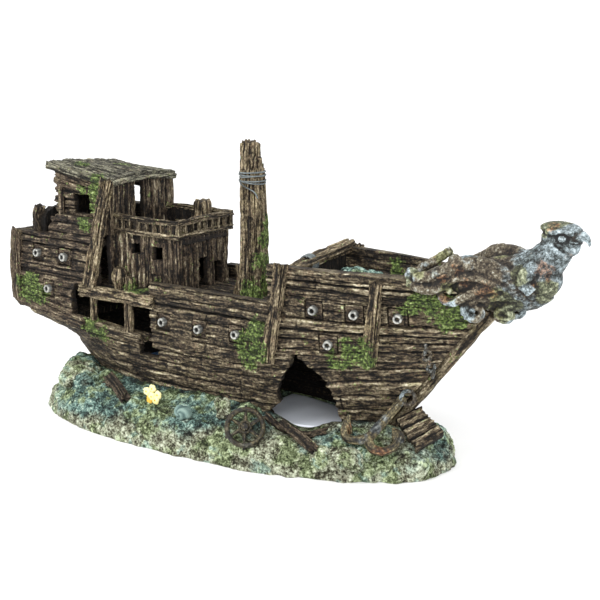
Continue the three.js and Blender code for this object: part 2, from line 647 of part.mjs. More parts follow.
function cabins() {
  const half = POOP_WIDTH / 2;
  const room = box(
    [poopAftX + WALL, -half + WALL, CASTLE_Z - 1],
    [CASTLE_FRONT_X - WALL, half - WALL, EAVE_Z + 20],
  );
  const doorway = box([CASTLE_FRONT_X - 2 * WALL, -6, BALUSTRADE_Z + 1], [CASTLE_FRONT_X + 1, 2, EAVE_Z + 5]);
  const sternWindow = box([poopAftX - 1, -1, BALUSTRADE_Z + 3], [poopAftX + 2 * WALL, 9, EAVE_Z - 3]);
  const windowX = CASTLE_FRONT_X - 25;
  const windows = box([windowX, -BEAM, CASTLE_TIER_Z + 1], [windowX + 11, BEAM, EAVE_Z - 5]);
  add("poop_cabin", without(union([poopBlock(0), poopFace(0)]), [room, doorway, sternWindow, windows]), WOOD);
  add("poop_roof", poopRoof(0), DARK_WOOD);

  const cabinAft = CASTLE_FRONT_X + GAP;
  const cabinFore = cabinAft + CABIN_LENGTH;
  const wide = CABIN_WIDTH / 2;
  const body = box([cabinAft, -wide, DECK_Z + GAP], [cabinFore, wide, BALUSTRADE_Z]);
  const inside = box(
    [cabinAft + WALL, -wide + WALL, DECK_Z - 1],
    [cabinFore - WALL, wide - WALL, BALUSTRADE_Z - DECK_THICKNESS],
  );
  const openings = [
    box([cabinAft + 9, -wide - 1, BALUSTRADE_Z - 9], [cabinAft + 14, -wide + 2 * WALL, BALUSTRADE_Z - 4]),
    box([cabinAft + 22, -wide - 1, BALUSTRADE_Z - 10], [cabinAft + 28, -wide + 2 * WALL, BALUSTRADE_Z - 4.5]),
    box([cabinFore - 2 * WALL, -3, DECK_Z - 1], [cabinFore + 1, 3, DECK_Z + 14]),
    box([cabinFore - 2 * WALL, 8, DECK_Z - 1], [cabinFore + 1, 13, DECK_Z + 12]),
  ];
  add("mid_cabin", without(body, [inside, ...openings]), WOOD);
  balustrade(cabinAft, cabinFore, wide);

  const bollardY = wide - 6;
  const bollardX = cabinFore - 5.6;
  const seat = BALUSTRADE_Z + GAP;
  const bollardTop = [bollardX, bollardY, seat + 16];
  add("roof_bollard", bar([bollardX, bollardY, seat], bollardTop, 4.6, 3, 8), WEATHERED_WOOD);
  const deckBollard = [CASTLE_FRONT_X + 6, -(wide + 5.4)];
  add(
    "deck_bollard",
    bar([...deckBollard, DECK_Z + GAP], [...deckBollard, DECK_Z + 9], 3.8, 3.6, 8),
    WEATHERED_WOOD,
  );
}

// The railing round the roof of the middle cabin: a walled frame with a row of openings along three sides.
function balustrade(aft, fore, wide) {
  const out = BALUSTRADE_OVERHANG;
  const low = BALUSTRADE_Z + GAP;
  const high = low + BALUSTRADE_HEIGHT;
  const outer = box([aft + GAP, -wide - out, low], [fore + out, wide + out, high]);
  const inner = box(
    [aft - 1, -wide - out + RAIL_THICKNESS, low - 1],
    [fore + out - RAIL_THICKNESS, wide + out - RAIL_THICKNESS, high + 1],
  );
  const rail = 2.2;
  const along = 6;
  const pitch = (fore + out - aft - 3) / along;
  const slots = [];
  for (let i = 0; i < along; i++) {
    const x = aft + 1.5 + (i + 0.25) * pitch;
    slots.push(box([x, -BEAM, low + rail], [x + pitch * 0.62, BEAM, high - rail]));
  }
  const across = 6;
  const step = (2 * wide - 2) / across;
  for (let i = 0; i < across; i++) {
    const y = -wide + 1 + (i + 0.2) * step;
    slots.push(box([fore - 2, y, low + rail], [fore + 5, y + step * 0.62, high - rail]));
  }
  add("balustrade", without(outer, [inner, ...slots]), WEATHERED_WOOD);
}

// ---- Gallery in the broken quarter of the starboard side

// The walkway beside the deck edge, grown by a clearance.
function ledge(grow) {
  return sidePanel(
    -1,
    [constant(CASTLE_BREAK_X + 8 - grow), constant(WAIST_AFT_X - GAP + grow)],
    [constant(LEDGE_TOP_Z - LEDGE_HEIGHT - grow), constant(LEDGE_TOP_Z + grow)],
    { inset: -1.5 - grow, wall: WALL + GUN_PLATE + 1.5 + 2 * grow, nx: 5, nz: 1 },
  );
}

function gallery() {
  const x0 = CASTLE_BREAK_X + 2;
  const x1 = GALLERY_FORE_X - 2;
  const sillTop = (x) => waleZ(x) + 2.5;
  const sill = sidePanel(-1, [constant(x0), constant(x1)], [aboveWale, sillTop], { wall: WALL + 3, nx: 5, nz: 1 });
  add("gallery_sill", sill, WEATHERED_WOOD);

  add("deck_ledge", ledge(0), WEATHERED_WOOD);

  const ends = [
    ["aft", x0 + 11],
    ["fore", x1 - 5],
  ];
  for (const [word, x] of ends) {
    const y = -halfBeam(x, WALE_Z + 10) + WALL;
    const foot = [x, y, sillTop(x) + GAP];
    const head = [x, y, LEDGE_TOP_Z - LEDGE_HEIGHT - GAP];
    add(`gallery_post_${word}`, timber(foot, head, 3.6, 3.6), WEATHERED_WOOD);
  }
}

// ---- Mast and rigging

function mastAndBeam() {
  const shaft = bar([MAST_X, 0, DECK_Z + GAP], [MAST_X, 0, MAST_TOP_Z], MAST_RADIUS + 0.6, MAST_RADIUS - 1, 14);
  const tenon = bar([MAST_X, 0, DECK_Z - DECK_THICKNESS], [MAST_X, 0, DECK_Z + 2], MAST_TENON_RADIUS);
  const splinter = box(
    [MAST_X + 1.5, -BEAM, MAST_TOP_Z - MAST_BREAK],
    [MAST_X + MAST_RADIUS * 2, BEAM, MAST_TOP_Z + 1],
  );
  add("mast", union([shaft.subtract(splinter), tenon]), WEATHERED_WOOD);

  const collar = bar([MAST_X, 0, LASHING_Z - 4], [MAST_X, 0, LASHING_Z + 2], MAST_RADIUS + 1.1, MAST_RADIUS + 0.9, 14);
  const mastRoom = bar([MAST_X, 0, DECK_Z], [MAST_X, 0, MAST_TOP_Z + 1], MAST_RADIUS + 0.6 + GAP, MAST_RADIUS - 1 + GAP, 14);
  add("mast_lashing", collar.subtract(mastRoom), ROPE);

  const beamX = MID_RIB_X;
  const reach = halfBeam(beamX, BOW_RAIL_Z) - WALL - GUN_PLATE - 1;
  const thick = 5.4;
  const from = [beamX + 1, -reach, BOW_RAIL_Z - 2.6];
  const to = [beamX + 1, reach, BOW_RAIL_Z + 0.4];
  add("cross_beam", timber(from, to, thick, thick), WEATHERED_WOOD);
  const lash = 1;
  const lashY = [-0.3 * reach, -0.3 * reach + 4.5];
  const lashZ = (y) => BOW_RAIL_Z - 1.1 + (1.5 * y) / reach;
  const wrap = bent(1, 1, 1, (u, v, w) => {
    const y = lerp(lashY[0], lashY[1], v);
    const half = thick / 2 + GAP + lash;
    return [beamX + 1 + (2 * u - 1) * half, y, lashZ(y) + (2 * w - 1) * half];
  });
  const grown = timber([from[0], -reach - 1, from[2]], [to[0], reach + 1, to[2]], thick + 2 * GAP, thick + 2 * GAP);
  add("beam_lashing", wrap.subtract(grown), ROPE);
}

// ---- Figurehead: an eagle's head and breast, with scrolled wings that wrap the bow

function figurehead() {
  const head = (forward, y, z) => [FIGURE_X + forward, y, z];
  const pieces = [
    blob(head(14, 0, 87.5), [18, 10, 11.5]),
    bar(head(21, 0, 88), head(29.5, 0, 106), 9.5, 5.4, 12),
    blob(head(31.5, 0, 107.5), [8.5, 5.6, 6]),
    bar(head(36, 0, 107.5), head(43.5, 0, 106), 4.4, 2, 8),
    bar(head(42.6, 0, 106.6), head(45, 0, 101.5), 2.3, 0.8, 8),
    blob(head(-3, 0, 90), [10, 11.5, 8]),
    bar(head(-4, -10, 76.5), head(-4, 10, 76.5), 6.4, 6.4, 14),
    bar(head(-25, -11, 88.5), head(-13, -6, 97.5), 2.4, 2.2, 8),
    bar(head(-13, -6, 96.5), head(-2, -4, 92), 2.6, 4, 8),
  ];
  for (const [, side] of SIDES) {
    const wing = sidePanel(
      side,
      [constant(FIGURE_X - 24), constant(FIGURE_X + 1)],
      [(x) => lerp(82, 70, (x - FIGURE_X + 24) / 25), constant(BOW_RAIL_Z + 3)],
      { inset: -4.5, wall: 7, nx: 6, nz: 3 },
    );
    const curls = [
      [-10, 11, 83, 6.4],
      [1, 7.5, 77, 6],
    ];
    for (const [forward, out, z, radius] of curls) {
      const inner = head(forward + 1, side * (out - 6), z);
      pieces.push(bar(inner, head(forward - 1, side * (out + 5), z), radius, radius - 0.8, 14));
    }
    pieces.push(wing);
  }
  const bowClear = bent(16, 1, 4, (u, v, w) => {
    const z = lerp(FLOOR_Z, BOW_RAIL_Z + GAP, w);
    const x = lerp(MID_RIB_X, Math.min(stemX(z) + GAP, FIGURE_X + GAP), u);
    return [x, (2 * v - 1) * (halfBeam(x, z) + 2 * GAP), z];
  });
  const stemClear = bent(1, 1, 1, (u, v, w) => {
    const z = lerp(FLOOR_Z, WAIST_RAIL_Z + 2 + GAP, w);
    return [stemX(z) + GAP - (STEM_DEPTH + 4) * (1 - u), (v - 0.5) * (STEM_WIDTH + 2 * GAP), z];
  });
  add("figurehead", without(union(pieces), [bowClear, stemClear]), PATINA);
}

// ---- Wreckage on the seabed

// Stands a solid made about the Y axis at a point, leaning back and turned to face forward of the beam.
function placed(made, [x, y, z], leanDeg, turnDeg) {
  return made.rotate([-leanDeg, 0, 0]).rotate([0, 0, turnDeg]).translate([x, y, z]);
}

// A point measured forward from the stem's foot.
const fromStem = (x, y, z) => [STEM_FOOT_X + x, y, z];

function shipWheel() {
  const rim = ring(WHEEL_RADIUS - WHEEL_RIM, WHEEL_RIM * 0.75, 24, 6);
  const hub = bar([0, -1.6, 0], [0, 1.6, 0], 2.2, 2.2, 10);
  const spokes = [];
  for (let i = 0; i < WHEEL_SPOKES; i++) {
    const angle = ((i + 0.5) / WHEEL_SPOKES) * Math.PI * 2;
    const reach = WHEEL_RADIUS - WHEEL_RIM;
    spokes.push(bar([0, 0, 0], [Math.cos(angle) * reach, 0, Math.sin(angle) * reach], 0.9, 0.9, 6));
  }
  return placed(union([rim, hub, ...spokes]), [at(0.6386), -45.2, 17.9], 28, 32);
}

function anchorAndRing() {
  const crown = fromStem(2.6, -25, 17);
  const eye = fromStem(9, -9.4, 30.6);
  const arms = [
    [crown, fromStem(-3.2, -29, 17.5), fromStem(-6.7, -28.6, 19.5), fromStem(-7.7, -25, 23)],
    [
      crown,
      fromStem(6.3, -27, 14.8),
      fromStem(10.8, -26, 14),
      fromStem(13.8, -22, 15.5),
      fromStem(14, -18.5, 18.5),
    ],
  ];
  const pieces = [bar(crown, eye, 1.8, 1.4, 8), blob(eye, [2, 1.8, 1.8], 1), blob(crown, [2, 2, 2], 1)];
  for (const arm of arms) {
    for (let i = 1; i < arm.length; i++) {
      pieces.push(bar(arm[i - 1], arm[i], 1.7, i === arm.length - 1 ? 1 : 1.7, 8));
      if (i < arm.length - 1) pieces.push(blob(arm[i], [1.7, 1.7, 1.7], 1));
    }
  }
  pieces.push(blob(fromStem(-7.2, -25.2, 21.5), [1.6, 2.4, 3.2], 1), blob(fromStem(12.2, -17.4, 18), [3, 2, 2], 1));
  const shackleAt = fromStem(11.8, -8.4, 32.6);
  const shackle = placed(ring(2.9, 0.8, 14, 6), shackleAt, 12, 36);
  const body = union(pieces);
  const room = placed(ring(2.9, 0.8 + GAP, 14, 6), shackleAt, 12, 36);
  return [body.subtract(room), shackle];
}

function wreckage() {
  add("stern_rock", bedded(blob([-106, -22, 13], [11, 12, 10.5])), CORAL);
  add("wheel_coral", bedded(blob([at(0.563), -37, 20], [3.8, 3.8, 5.4], 1)), CORAL);
  add("bow_coral", bedded(blob(fromStem(-4.2, -33, 9.5), [9, 7, 6], 1)), CORAL);
  add("anemone", bedded(blob([at(0.4075), -37.4, 20.5], [4.6, 3.6, 4.6], 1)), YELLOW);
  add("whelk_shell", bedded(blob([at(0.496), -44.6, 17.6], [4.4, 3.4, 3.6], 1)), CORAL);
  add("stern_timber", bedded(timber([-76.5, -34, 20.2], [-58, -43.5, 18], 6, 3.4, 0.5)), DARK_WOOD);
  add("breach_timber", bedded(timber([at(0.689), -31.5, 20.5], [at(0.7795), -40.5, 12], 5.4, 3, 0.3)), DARK_WOOD);
  const corners = [
    [fromStem(20.4, -15.4, 13), fromStem(27.6, -4.6, 19)],
    [fromStem(7.2, -11.6, 23.2), fromStem(15, -2.6, 28)],
  ].map((edge) => edge.map((point) => new THREE.Vector3(...point)));
  const boards = bent(4, 1, 4, (u, v, w) => {
    const low = corners[0][0].clone().lerp(corners[0][1], u);
    const high = corners[1][0].clone().lerp(corners[1][1], u);
    return low.lerp(high, w).add(new THREE.Vector3(-1.9, 2.7, -0.8).multiplyScalar(v)).toArray();
  });
  const stemRoom = bent(1, 1, 1, (u, v, w) => {
    const z = lerp(FLOOR_Z - 4, BOW_RAIL_Z / 2, w);
    return [stemX(z) + GAP - 2 * STEM_DEPTH * (1 - u), (v - 0.5) * (STEM_WIDTH + 2 * GAP), z];
  });
  add("bow_boards", bedded(boards).subtract(stemRoom), WEATHERED_WOOD);
  add("ship_wheel", bedded(shipWheel()), RUST);
  const [anchor, shackle] = anchorAndRing();
  add("anchor", bedded(anchor), RUST);
  add("anchor_ring", bedded(shackle), RUST);
}

// A stub of mooring chain that hangs from the hawse hole, links fused into one casting.
function hawseChain() {
  const x = at(0.905);
  const links = [];
  for (let i = 0; i < 4; i++) {
    const z = 57.5 - i * 4.1;
    const here = x + i * 0.4;
    const y = -halfBeam(here, z) - 1.15;
    links.push(bar([here, y, z], [here + 0.4, y, z - 4.6], 1.5, 1.5, 8));
  }
  const clear = hullBlock(GAP, [FLOOR_Z, BOW_RAIL_Z]);
  add("hawse_chain", union(links).subtract(clear), PATINA);
}

seabed();
airLine();
lowerHull();
endPosts();
upperSides();
ribs();
decks();
cabins();
gallery();
mastAndBeam();
figurehead();
wreckage();
hawseChain();

// The origin is the middle of the ornament's underside.
const extent = new THREE.Box3().setFromObject(ornament);
const middle = extent.getCenter(new THREE.Vector3());
for (const mesh of ornament.children)
  mesh.geometry.translate(-middle.x, -middle.y, -extent.min.z);

export default ornament;
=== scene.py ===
"""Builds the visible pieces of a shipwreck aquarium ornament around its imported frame."""

import math

import bpy
import numpy as np
from bpy.props import FloatProperty, FloatVectorProperty, IntProperty, PointerProperty
from mathutils import Matrix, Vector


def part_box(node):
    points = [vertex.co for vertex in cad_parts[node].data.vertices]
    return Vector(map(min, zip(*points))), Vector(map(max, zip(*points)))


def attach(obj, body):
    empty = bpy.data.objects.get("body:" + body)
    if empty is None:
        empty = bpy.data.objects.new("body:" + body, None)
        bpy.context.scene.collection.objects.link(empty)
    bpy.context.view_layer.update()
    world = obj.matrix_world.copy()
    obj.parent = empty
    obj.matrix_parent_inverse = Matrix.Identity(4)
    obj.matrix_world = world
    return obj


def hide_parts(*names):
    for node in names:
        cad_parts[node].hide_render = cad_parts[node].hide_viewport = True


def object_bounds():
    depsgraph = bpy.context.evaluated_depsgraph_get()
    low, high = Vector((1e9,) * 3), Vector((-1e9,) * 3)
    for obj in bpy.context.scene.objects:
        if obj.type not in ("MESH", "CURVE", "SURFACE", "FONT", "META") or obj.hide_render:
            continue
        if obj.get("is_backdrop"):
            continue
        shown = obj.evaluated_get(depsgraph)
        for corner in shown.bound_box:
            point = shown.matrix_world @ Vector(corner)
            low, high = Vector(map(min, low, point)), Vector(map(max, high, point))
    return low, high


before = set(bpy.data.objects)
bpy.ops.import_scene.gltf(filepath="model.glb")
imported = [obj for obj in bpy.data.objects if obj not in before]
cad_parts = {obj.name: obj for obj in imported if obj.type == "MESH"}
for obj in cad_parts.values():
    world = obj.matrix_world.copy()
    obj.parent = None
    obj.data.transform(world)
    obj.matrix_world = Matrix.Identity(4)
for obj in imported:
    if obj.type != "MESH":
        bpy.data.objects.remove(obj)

bl_info = {
    "name": "Shipwreck Ornament",
    "version": (1, 0, 0),
    "blender": (4, 5, 0),
    "location": "3D View > Sidebar > Wreck",
    "description": "Carves and paints the pieces of a cast shipwreck ornament",
    "category": "Add Mesh",
}

MM = 0.001
CAD_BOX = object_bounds()

# ---------------------------------------------------------------- the ship's own measures, in millimetres

AFT_X = -148.0
HULL_LENGTH = 254.0
BEAM = 57.0
WALL = 3.0
FLOOR_Z = 14.0
WALE_Z = 40.0
DECK_Z = 64.0
WAIST_RAIL_Z = 70.0
BOW_RAIL_Z = 86.0
FORE_DECK_Z = 78.0
CASTLE_Z = 85.0
CASTLE_TIER_Z = 95.5
EAVE_Z = 111.0
ROOF_PITCH = 0.15
BALUSTRADE_Z = 89.0
STEM_WIDTH = 4.6
MAST_TOP_Z = 135.6
PORT_SIZE = 8.4
POOP_LENGTH = 34.0
POOP_HALF = 21.0
ROOF_HALF = 23.4
MIDDLE_HALF = 17.7
SEABED_X = -25.0
SEABED_HALF_WIDTH = 54.0
SEABED_HALF_FORE = 113.8
SEABED_HALF_AFT = 109.0
SEABED_RISE = 21.5
HULL_PLANK = 5.4
SHIFT_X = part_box("transom")[0][0] / MM - AFT_X


def at(share):
    """The place at a share of the hull's length, measured from its after end."""
    return AFT_X + share * HULL_LENGTH


CASTLE_FRONT_X = at(0.252)
CASTLE_BREAK_X = at(0.165)
WAIST_AFT_X = at(0.372)
MID_RIB_X = at(0.655)
BOW_RIB_X = at(0.829)
FIGURE_X = at(0.985)
MAST_X = at(0.52)
BREACH_TOP_X = at(0.68)
AIR_X = at(0.29)
CABIN_FORE_X = CASTLE_FRONT_X + 38.3
POOP_AFT_X = CASTLE_FRONT_X - POOP_LENGTH
CASTLE_GUNS = [(at(0.073), 75.0), (at(0.148), 75.0), (at(0.102), 58.0)]
WAIST_GUNS = [(at(0.402), 52.4), (at(0.486), 52.2), (at(0.57), 53.0)]
BOW_GUNS = [(at(0.726), 69.0), (at(0.797), 69.0), (at(0.868), 69.0), (at(0.75), 54.5)]

# Moss grows in round patches: centre and radius.
MOSS = [
    ((-136, -26, 57), 9), ((-128, -27, 54), 6), ((-90, -23, 113), 6), ((-92, -24, 107), 7), ((-93.5, -25, 100), 8),
    ((-95, -26, 94), 6), ((-102, -22, 108), 4), ((-66, -24, 66), 6), ((-58, -20, 65), 5), ((-72, -22, 64), 4),
    ((-94, -27, 42), 7), ((-86, -27, 40), 5), ((3, -29, 50), 8), ((9, -29, 58), 6), ((4, -28, 43), 7),
    ((10, -29, 48), 6), ((-13.6, -4.5, 68), 7), ((-11.6, 1.5, 70), 8), ((-11.4, 1.2, 80), 7), ((-11.6, 1.4, 90), 6),
    ((-11.4, 2, 98), 4), ((52, -24, 50), 8), ((58, -22, 53), 7), ((46, -26, 47), 6), ((60, -21, 48), 6),
    ((88, -13, 75), 8), ((95, -9, 71), 7), ((82, -17, 76), 6), ((77, -19, 73), 5), ((90, -11, 68), 5),
    ((-112, -12, 121), 6), ((-100, 4, 119), 5), ((4, 8, 66), 8), ((8, -14, 70), 6), ((50, 25, 80), 8),
    ((70, 19, 82), 6), ((-60, 27, 50), 9), ((20, 28, 66), 8), ((-120, 26, 60), 10), ((-148, 6, 70), 10),
    ((-42, -37, 19), 6), ((60, 26, 60), 8),
]
STARBOARD, PORT = -1, 1
AHEAD, ACROSS, UP = (1, 0, 0), (0, 1, 0), (0, 0, 1)
SIDES = (("starboard", STARBOARD), ("port", PORT))


def lerp(a, b, t):
    return a + (b - a) * t


def smoothstep(x, low, high):
    t = np.clip((x - low) / (high - low), 0, 1)
    return t * t * (3 - 2 * t)


def stem_x(z):
    """The stem's place at a height: it rakes forward."""
    return 61.2 + 0.815 * (z - FLOOR_Z)


def post_x(z):
    """The sternpost's place at a height: it rakes aft as far as the transom."""
    return np.maximum(-113.9 - 1.05 * (z - FLOOR_Z), AFT_X + 5)


def wale_z(x):
    """Height of the strake between lower hull and upper works: lowest amidships, rising as a square aft."""
    x = np.asarray(x, float)
    low = at(0.386)
    aft = WALE_Z + 9 * (np.clip(low - x, 0, None) / (low - AFT_X)) ** 2
    fore = WALE_Z + 8 * (np.clip(x - low, 0, None) / (0.512 * HULL_LENGTH)) ** 1.5
    return np.where(x < low, aft, fore)


def half_beam(x, z):
    """Half the breadth: a parabola in height, times a power curve that closes towards the stem and the sternpost."""
    level = (z - 1.3 * WALE_Z) / (2.4 * WALE_Z)
    middle = BEAM / 2 * (1 - np.where(level < 0, 1.3, 0.25) * level**2)
    run = lerp(0.27, 0.41, smoothstep(z, FLOOR_Z, BOW_RAIL_Z)) * HULL_LENGTH
    bow = 1 - (1 - np.clip((stem_x(z) - x) / run, 0, 1)) ** 1.9
    tuck = 1 - (1 - np.clip((x - post_x(z)) / (0.3 * HULL_LENGTH), 0, 1)) ** 2.2
    counter = 0.88 + 0.12 * np.clip((x - AFT_X) / (0.25 * HULL_LENGTH), 0, 1)
    stern = lerp(tuck, counter, smoothstep(z, 0.72 * WALE_Z, 1.2 * WALE_Z))
    return lerp(STEM_WIDTH / 2, middle, bow * stern)


def breach(x, z):
    """How far a point lies outside the hole in the hull: its two edges spread from a peak down to the seabed."""
    share = np.clip((z - FLOOR_Z) / (WALE_Z + 7 - FLOOR_Z), 0, 1)
    aft = BREACH_TOP_X - lerp(8, 0, smoothstep(share, 0.45, 1)) - 6 * (1 - smoothstep(z, 18, 25))
    fore = BREACH_TOP_X + lerp(17.8, 3, share**4.5)
    ragged = 0.7 * noise2(x / 2.5, z / 1.6, 71) + 0.9 * noise2(x / 30, z / 2.2, 72)
    inside = np.minimum(x - aft, fore - x)
    return np.maximum(ragged - inside, z - (WALE_Z + 8))


# ---------------------------------------------------------------- noise


def lattice(ix, iy, iz, seed):
    """A number from 0 to 1 for each whole point: its coordinates times large odd numbers, with the bits folded."""
    mix = ix.astype(np.uint32) * np.uint32(374761393) + iy.astype(np.uint32) * np.uint32(668265263)
    mix = mix + iz.astype(np.uint32) * np.uint32(2246822519) + np.uint32((seed * 3266489917 + 1013904223) % 2**32)
    mix = (mix ^ (mix >> np.uint32(13))) * np.uint32(1274126177)
    mix = (mix ^ (mix >> np.uint32(15))) * np.uint32(2654435761)
    return ((mix ^ (mix >> np.uint32(16))) & np.uint32(0xFFFFFF)) / float(0xFFFFFF)


def noise3(x, y, z, seed=0):
    """Value noise from -1 to 1: lattice numbers blended over each unit cell with a smooth cubic."""
    x, y, z = np.broadcast_arrays(*(np.asarray(v, float) for v in (x, y, z)))
    cell = [np.floor(v).astype(np.int64) for v in (x, y, z)]
    share = [v - c for v, c in zip((x, y, z), cell)]
    share = [s * s * (3 - 2 * s) for s in share]
    total = np.zeros(x.shape)
    for corner in np.ndindex(2, 2, 2):
        weight = np.ones(x.shape)
        for axis in range(3):
            weight = weight * (share[axis] if corner[axis] else 1 - share[axis])
        total += weight * lattice(cell[0] + corner[0], cell[1] + corner[1], cell[2] + corner[2], seed)
    return 2 * total - 1


def noise2(x, y, seed=0):
    """Value noise from -1 to 1 over a plane."""
    x, y = np.broadcast_arrays(np.asarray(x, float), np.asarray(y, float))
    cell = [np.floor(v).astype(np.int64) for v in (x, y)]
    share = [v - c for v, c in zip((x, y), cell)]
    share = [s * s * (3 - 2 * s) for s in share]
    level = np.zeros(x.shape, np.int64)
    total = np.zeros(x.shape)
    for i, j in np.ndindex(2, 2):
        weight = (share[0] if i else 1 - share[0]) * (share[1] if j else 1 - share[1])
        total += weight * lattice(cell[0] + i, cell[1] + j, level, seed)
    return 2 * total - 1


def fractal(points, size, seed=0, octaves=4, gain=0.5):
    """Sum of value noises, each at half the size and a share of the strength of the one before."""
    total, strength, reach = 0, 1.0, 0.0
    for octave in range(octaves):
        p = points / size * 2**octave
        total = total + strength * noise3(p[..., 0], p[..., 1], p[..., 2], seed + octave)
        reach += strength
        strength *= gain
    return total / reach


def bubbles(points, size, seed=0):
    """Domes on scattered points: 1 at each point and 0 where two domes meet, with one random number for each dome."""
    p = points / size
    base = np.floor(p).astype(np.int64)
    best = np.full(p.shape[:-1], 9.0)
    second = np.full(p.shape[:-1], 9.0)
    mark = np.zeros(p.shape[:-1])
    for step in np.ndindex(3, 3, 3):
        cell = base + np.array(step) - 1
        at_cell = [lattice(cell[..., 0], cell[..., 1], cell[..., 2], seed + k) for k in range(4)]
        distance = sum((cell[..., k] + at_cell[k] - p[..., k]) ** 2 for k in range(3)) ** 0.5
        nearer = distance < best
        second = np.where(nearer, best, np.minimum(second, distance))
        best = np.where(nearer, distance, best)
        mark = np.where(nearer, at_cell[3], mark)
    return np.clip(second - best, 0, 1), mark


# ---------------------------------------------------------------- surfaces


class Skin:
    """Part of a piece: points, faces, and for each point its tone, its moss and its place along the grain."""

    def __init__(self, points, faces, tone=None, grain=None, tint=None):
        count = len(points)
        self.points = np.asarray(points, float)
        self.faces = [np.asarray(f, np.int64) for f in faces]
        self.tone = np.full(count, 0.5) if tone is None else np.asarray(tone, float)
        self.grain = self.points.copy() if grain is None else np.asarray(grain, float)
        self.tint = np.zeros(count) if tint is None else np.asarray(tint, float)


def spots(points, patches, low=0.0, high=0.55):
    """How deep each point lies in any of some round patches, from 0 to 1, with noisy edges."""
    total = np.zeros(points.shape[:-1])
    for centre, radius in patches:
        distance = np.linalg.norm(points - np.array(centre, float), axis=-1)
        total = np.maximum(total, 1 - distance / (1.2 * radius))
    edge = 0.4 * fractal(points, 4, 401, 3)
    return np.clip(smoothstep(total + edge, low, high), 0, 1) * (total > 0)


def moss_on(points):
    """How mossy each point of the ship is, from 0 to 1."""
    return spots(points, MOSS)


def make_piece(name, nodes, skins, finish, sharp=48, painted_shading=1.0):
    """Joins skins into one mesh object that stands for the named nodes. Lengths go from millimetres to metres. A
    shading factor below 1 darkens the paint and above 1 lightens it: painted shade and painted light that even out how
    the lamps light the pieces."""
    counts = np.cumsum([0] + [len(s.points) for s in skins])
    bare = np.concatenate([s.points for s in skins])
    points = bare + np.array([SHIFT_X, 0, 0])
    groups = [f + start for s, start in zip(skins, counts) for f in s.faces if len(f)]
    mesh = bpy.data.meshes.new(name)
    mesh.vertices.add(len(points))
    mesh.vertices.foreach_set("co", (points * MM).astype(np.float32).ravel())
    corners = np.concatenate([g.ravel() for g in groups])
    sizes = np.concatenate([np.full(len(g), g.shape[1]) for g in groups])
    mesh.loops.add(len(corners))
    mesh.loops.foreach_set("vertex_index", corners.astype(np.int32))
    mesh.polygons.add(len(sizes))
    mesh.polygons.foreach_set("loop_start", (np.cumsum(sizes) - sizes).astype(np.int32))
    mesh.update(calc_edges=True)
    mesh.validate()
    values = {
        "tone": ("FLOAT", "value", painted_shading * np.concatenate([s.tone for s in skins])),
        "tint": ("FLOAT", "value", np.concatenate([s.tint for s in skins])),
        "moss": ("FLOAT", "value", moss_on(bare)),
        "grain": ("FLOAT_VECTOR", "vector", np.concatenate([s.grain for s in skins])),
    }
    for key, (kind, field, data) in values.items():
        layer = mesh.attributes.new(key, kind, "POINT")
        layer.data.foreach_set(field, data.astype(np.float32).ravel())
    mesh.shade_smooth()
    if sharp:
        mesh.set_sharp_from_angle(angle=math.radians(sharp))
    mesh.materials.append(paints()[finish])
    piece = bpy.data.objects.new(name, mesh)
    bpy.context.scene.collection.objects.link(piece)
    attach(piece, "root")
    if nodes:
        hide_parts(*nodes)
    return piece


def grid_faces(rows, columns, wrap=False):
    """Quads over a grid of points, row after row. With wrap, the last column joins the first."""
    i, j = np.meshgrid(np.arange(rows - 1), np.arange(columns if wrap else columns - 1), indexing="ij")
    i, j = i.ravel(), j.ravel()
    k = (j + 1) % columns
    return np.stack([i * columns + j, i * columns + k, (i + 1) * columns + k, (i + 1) * columns + j], -1)


def end_caps(rows, around):
    """Fans that close the first and the last of some rings. Their two tips come after the rings' points."""
    first = np.arange(around)
    last = (rows - 1) * around + first
    return [np.stack([np.full(around, rows * around), np.roll(first, -1), first], -1),
            np.stack([np.full(around, rows * around + 1), last, np.roll(last, -1)], -1)]


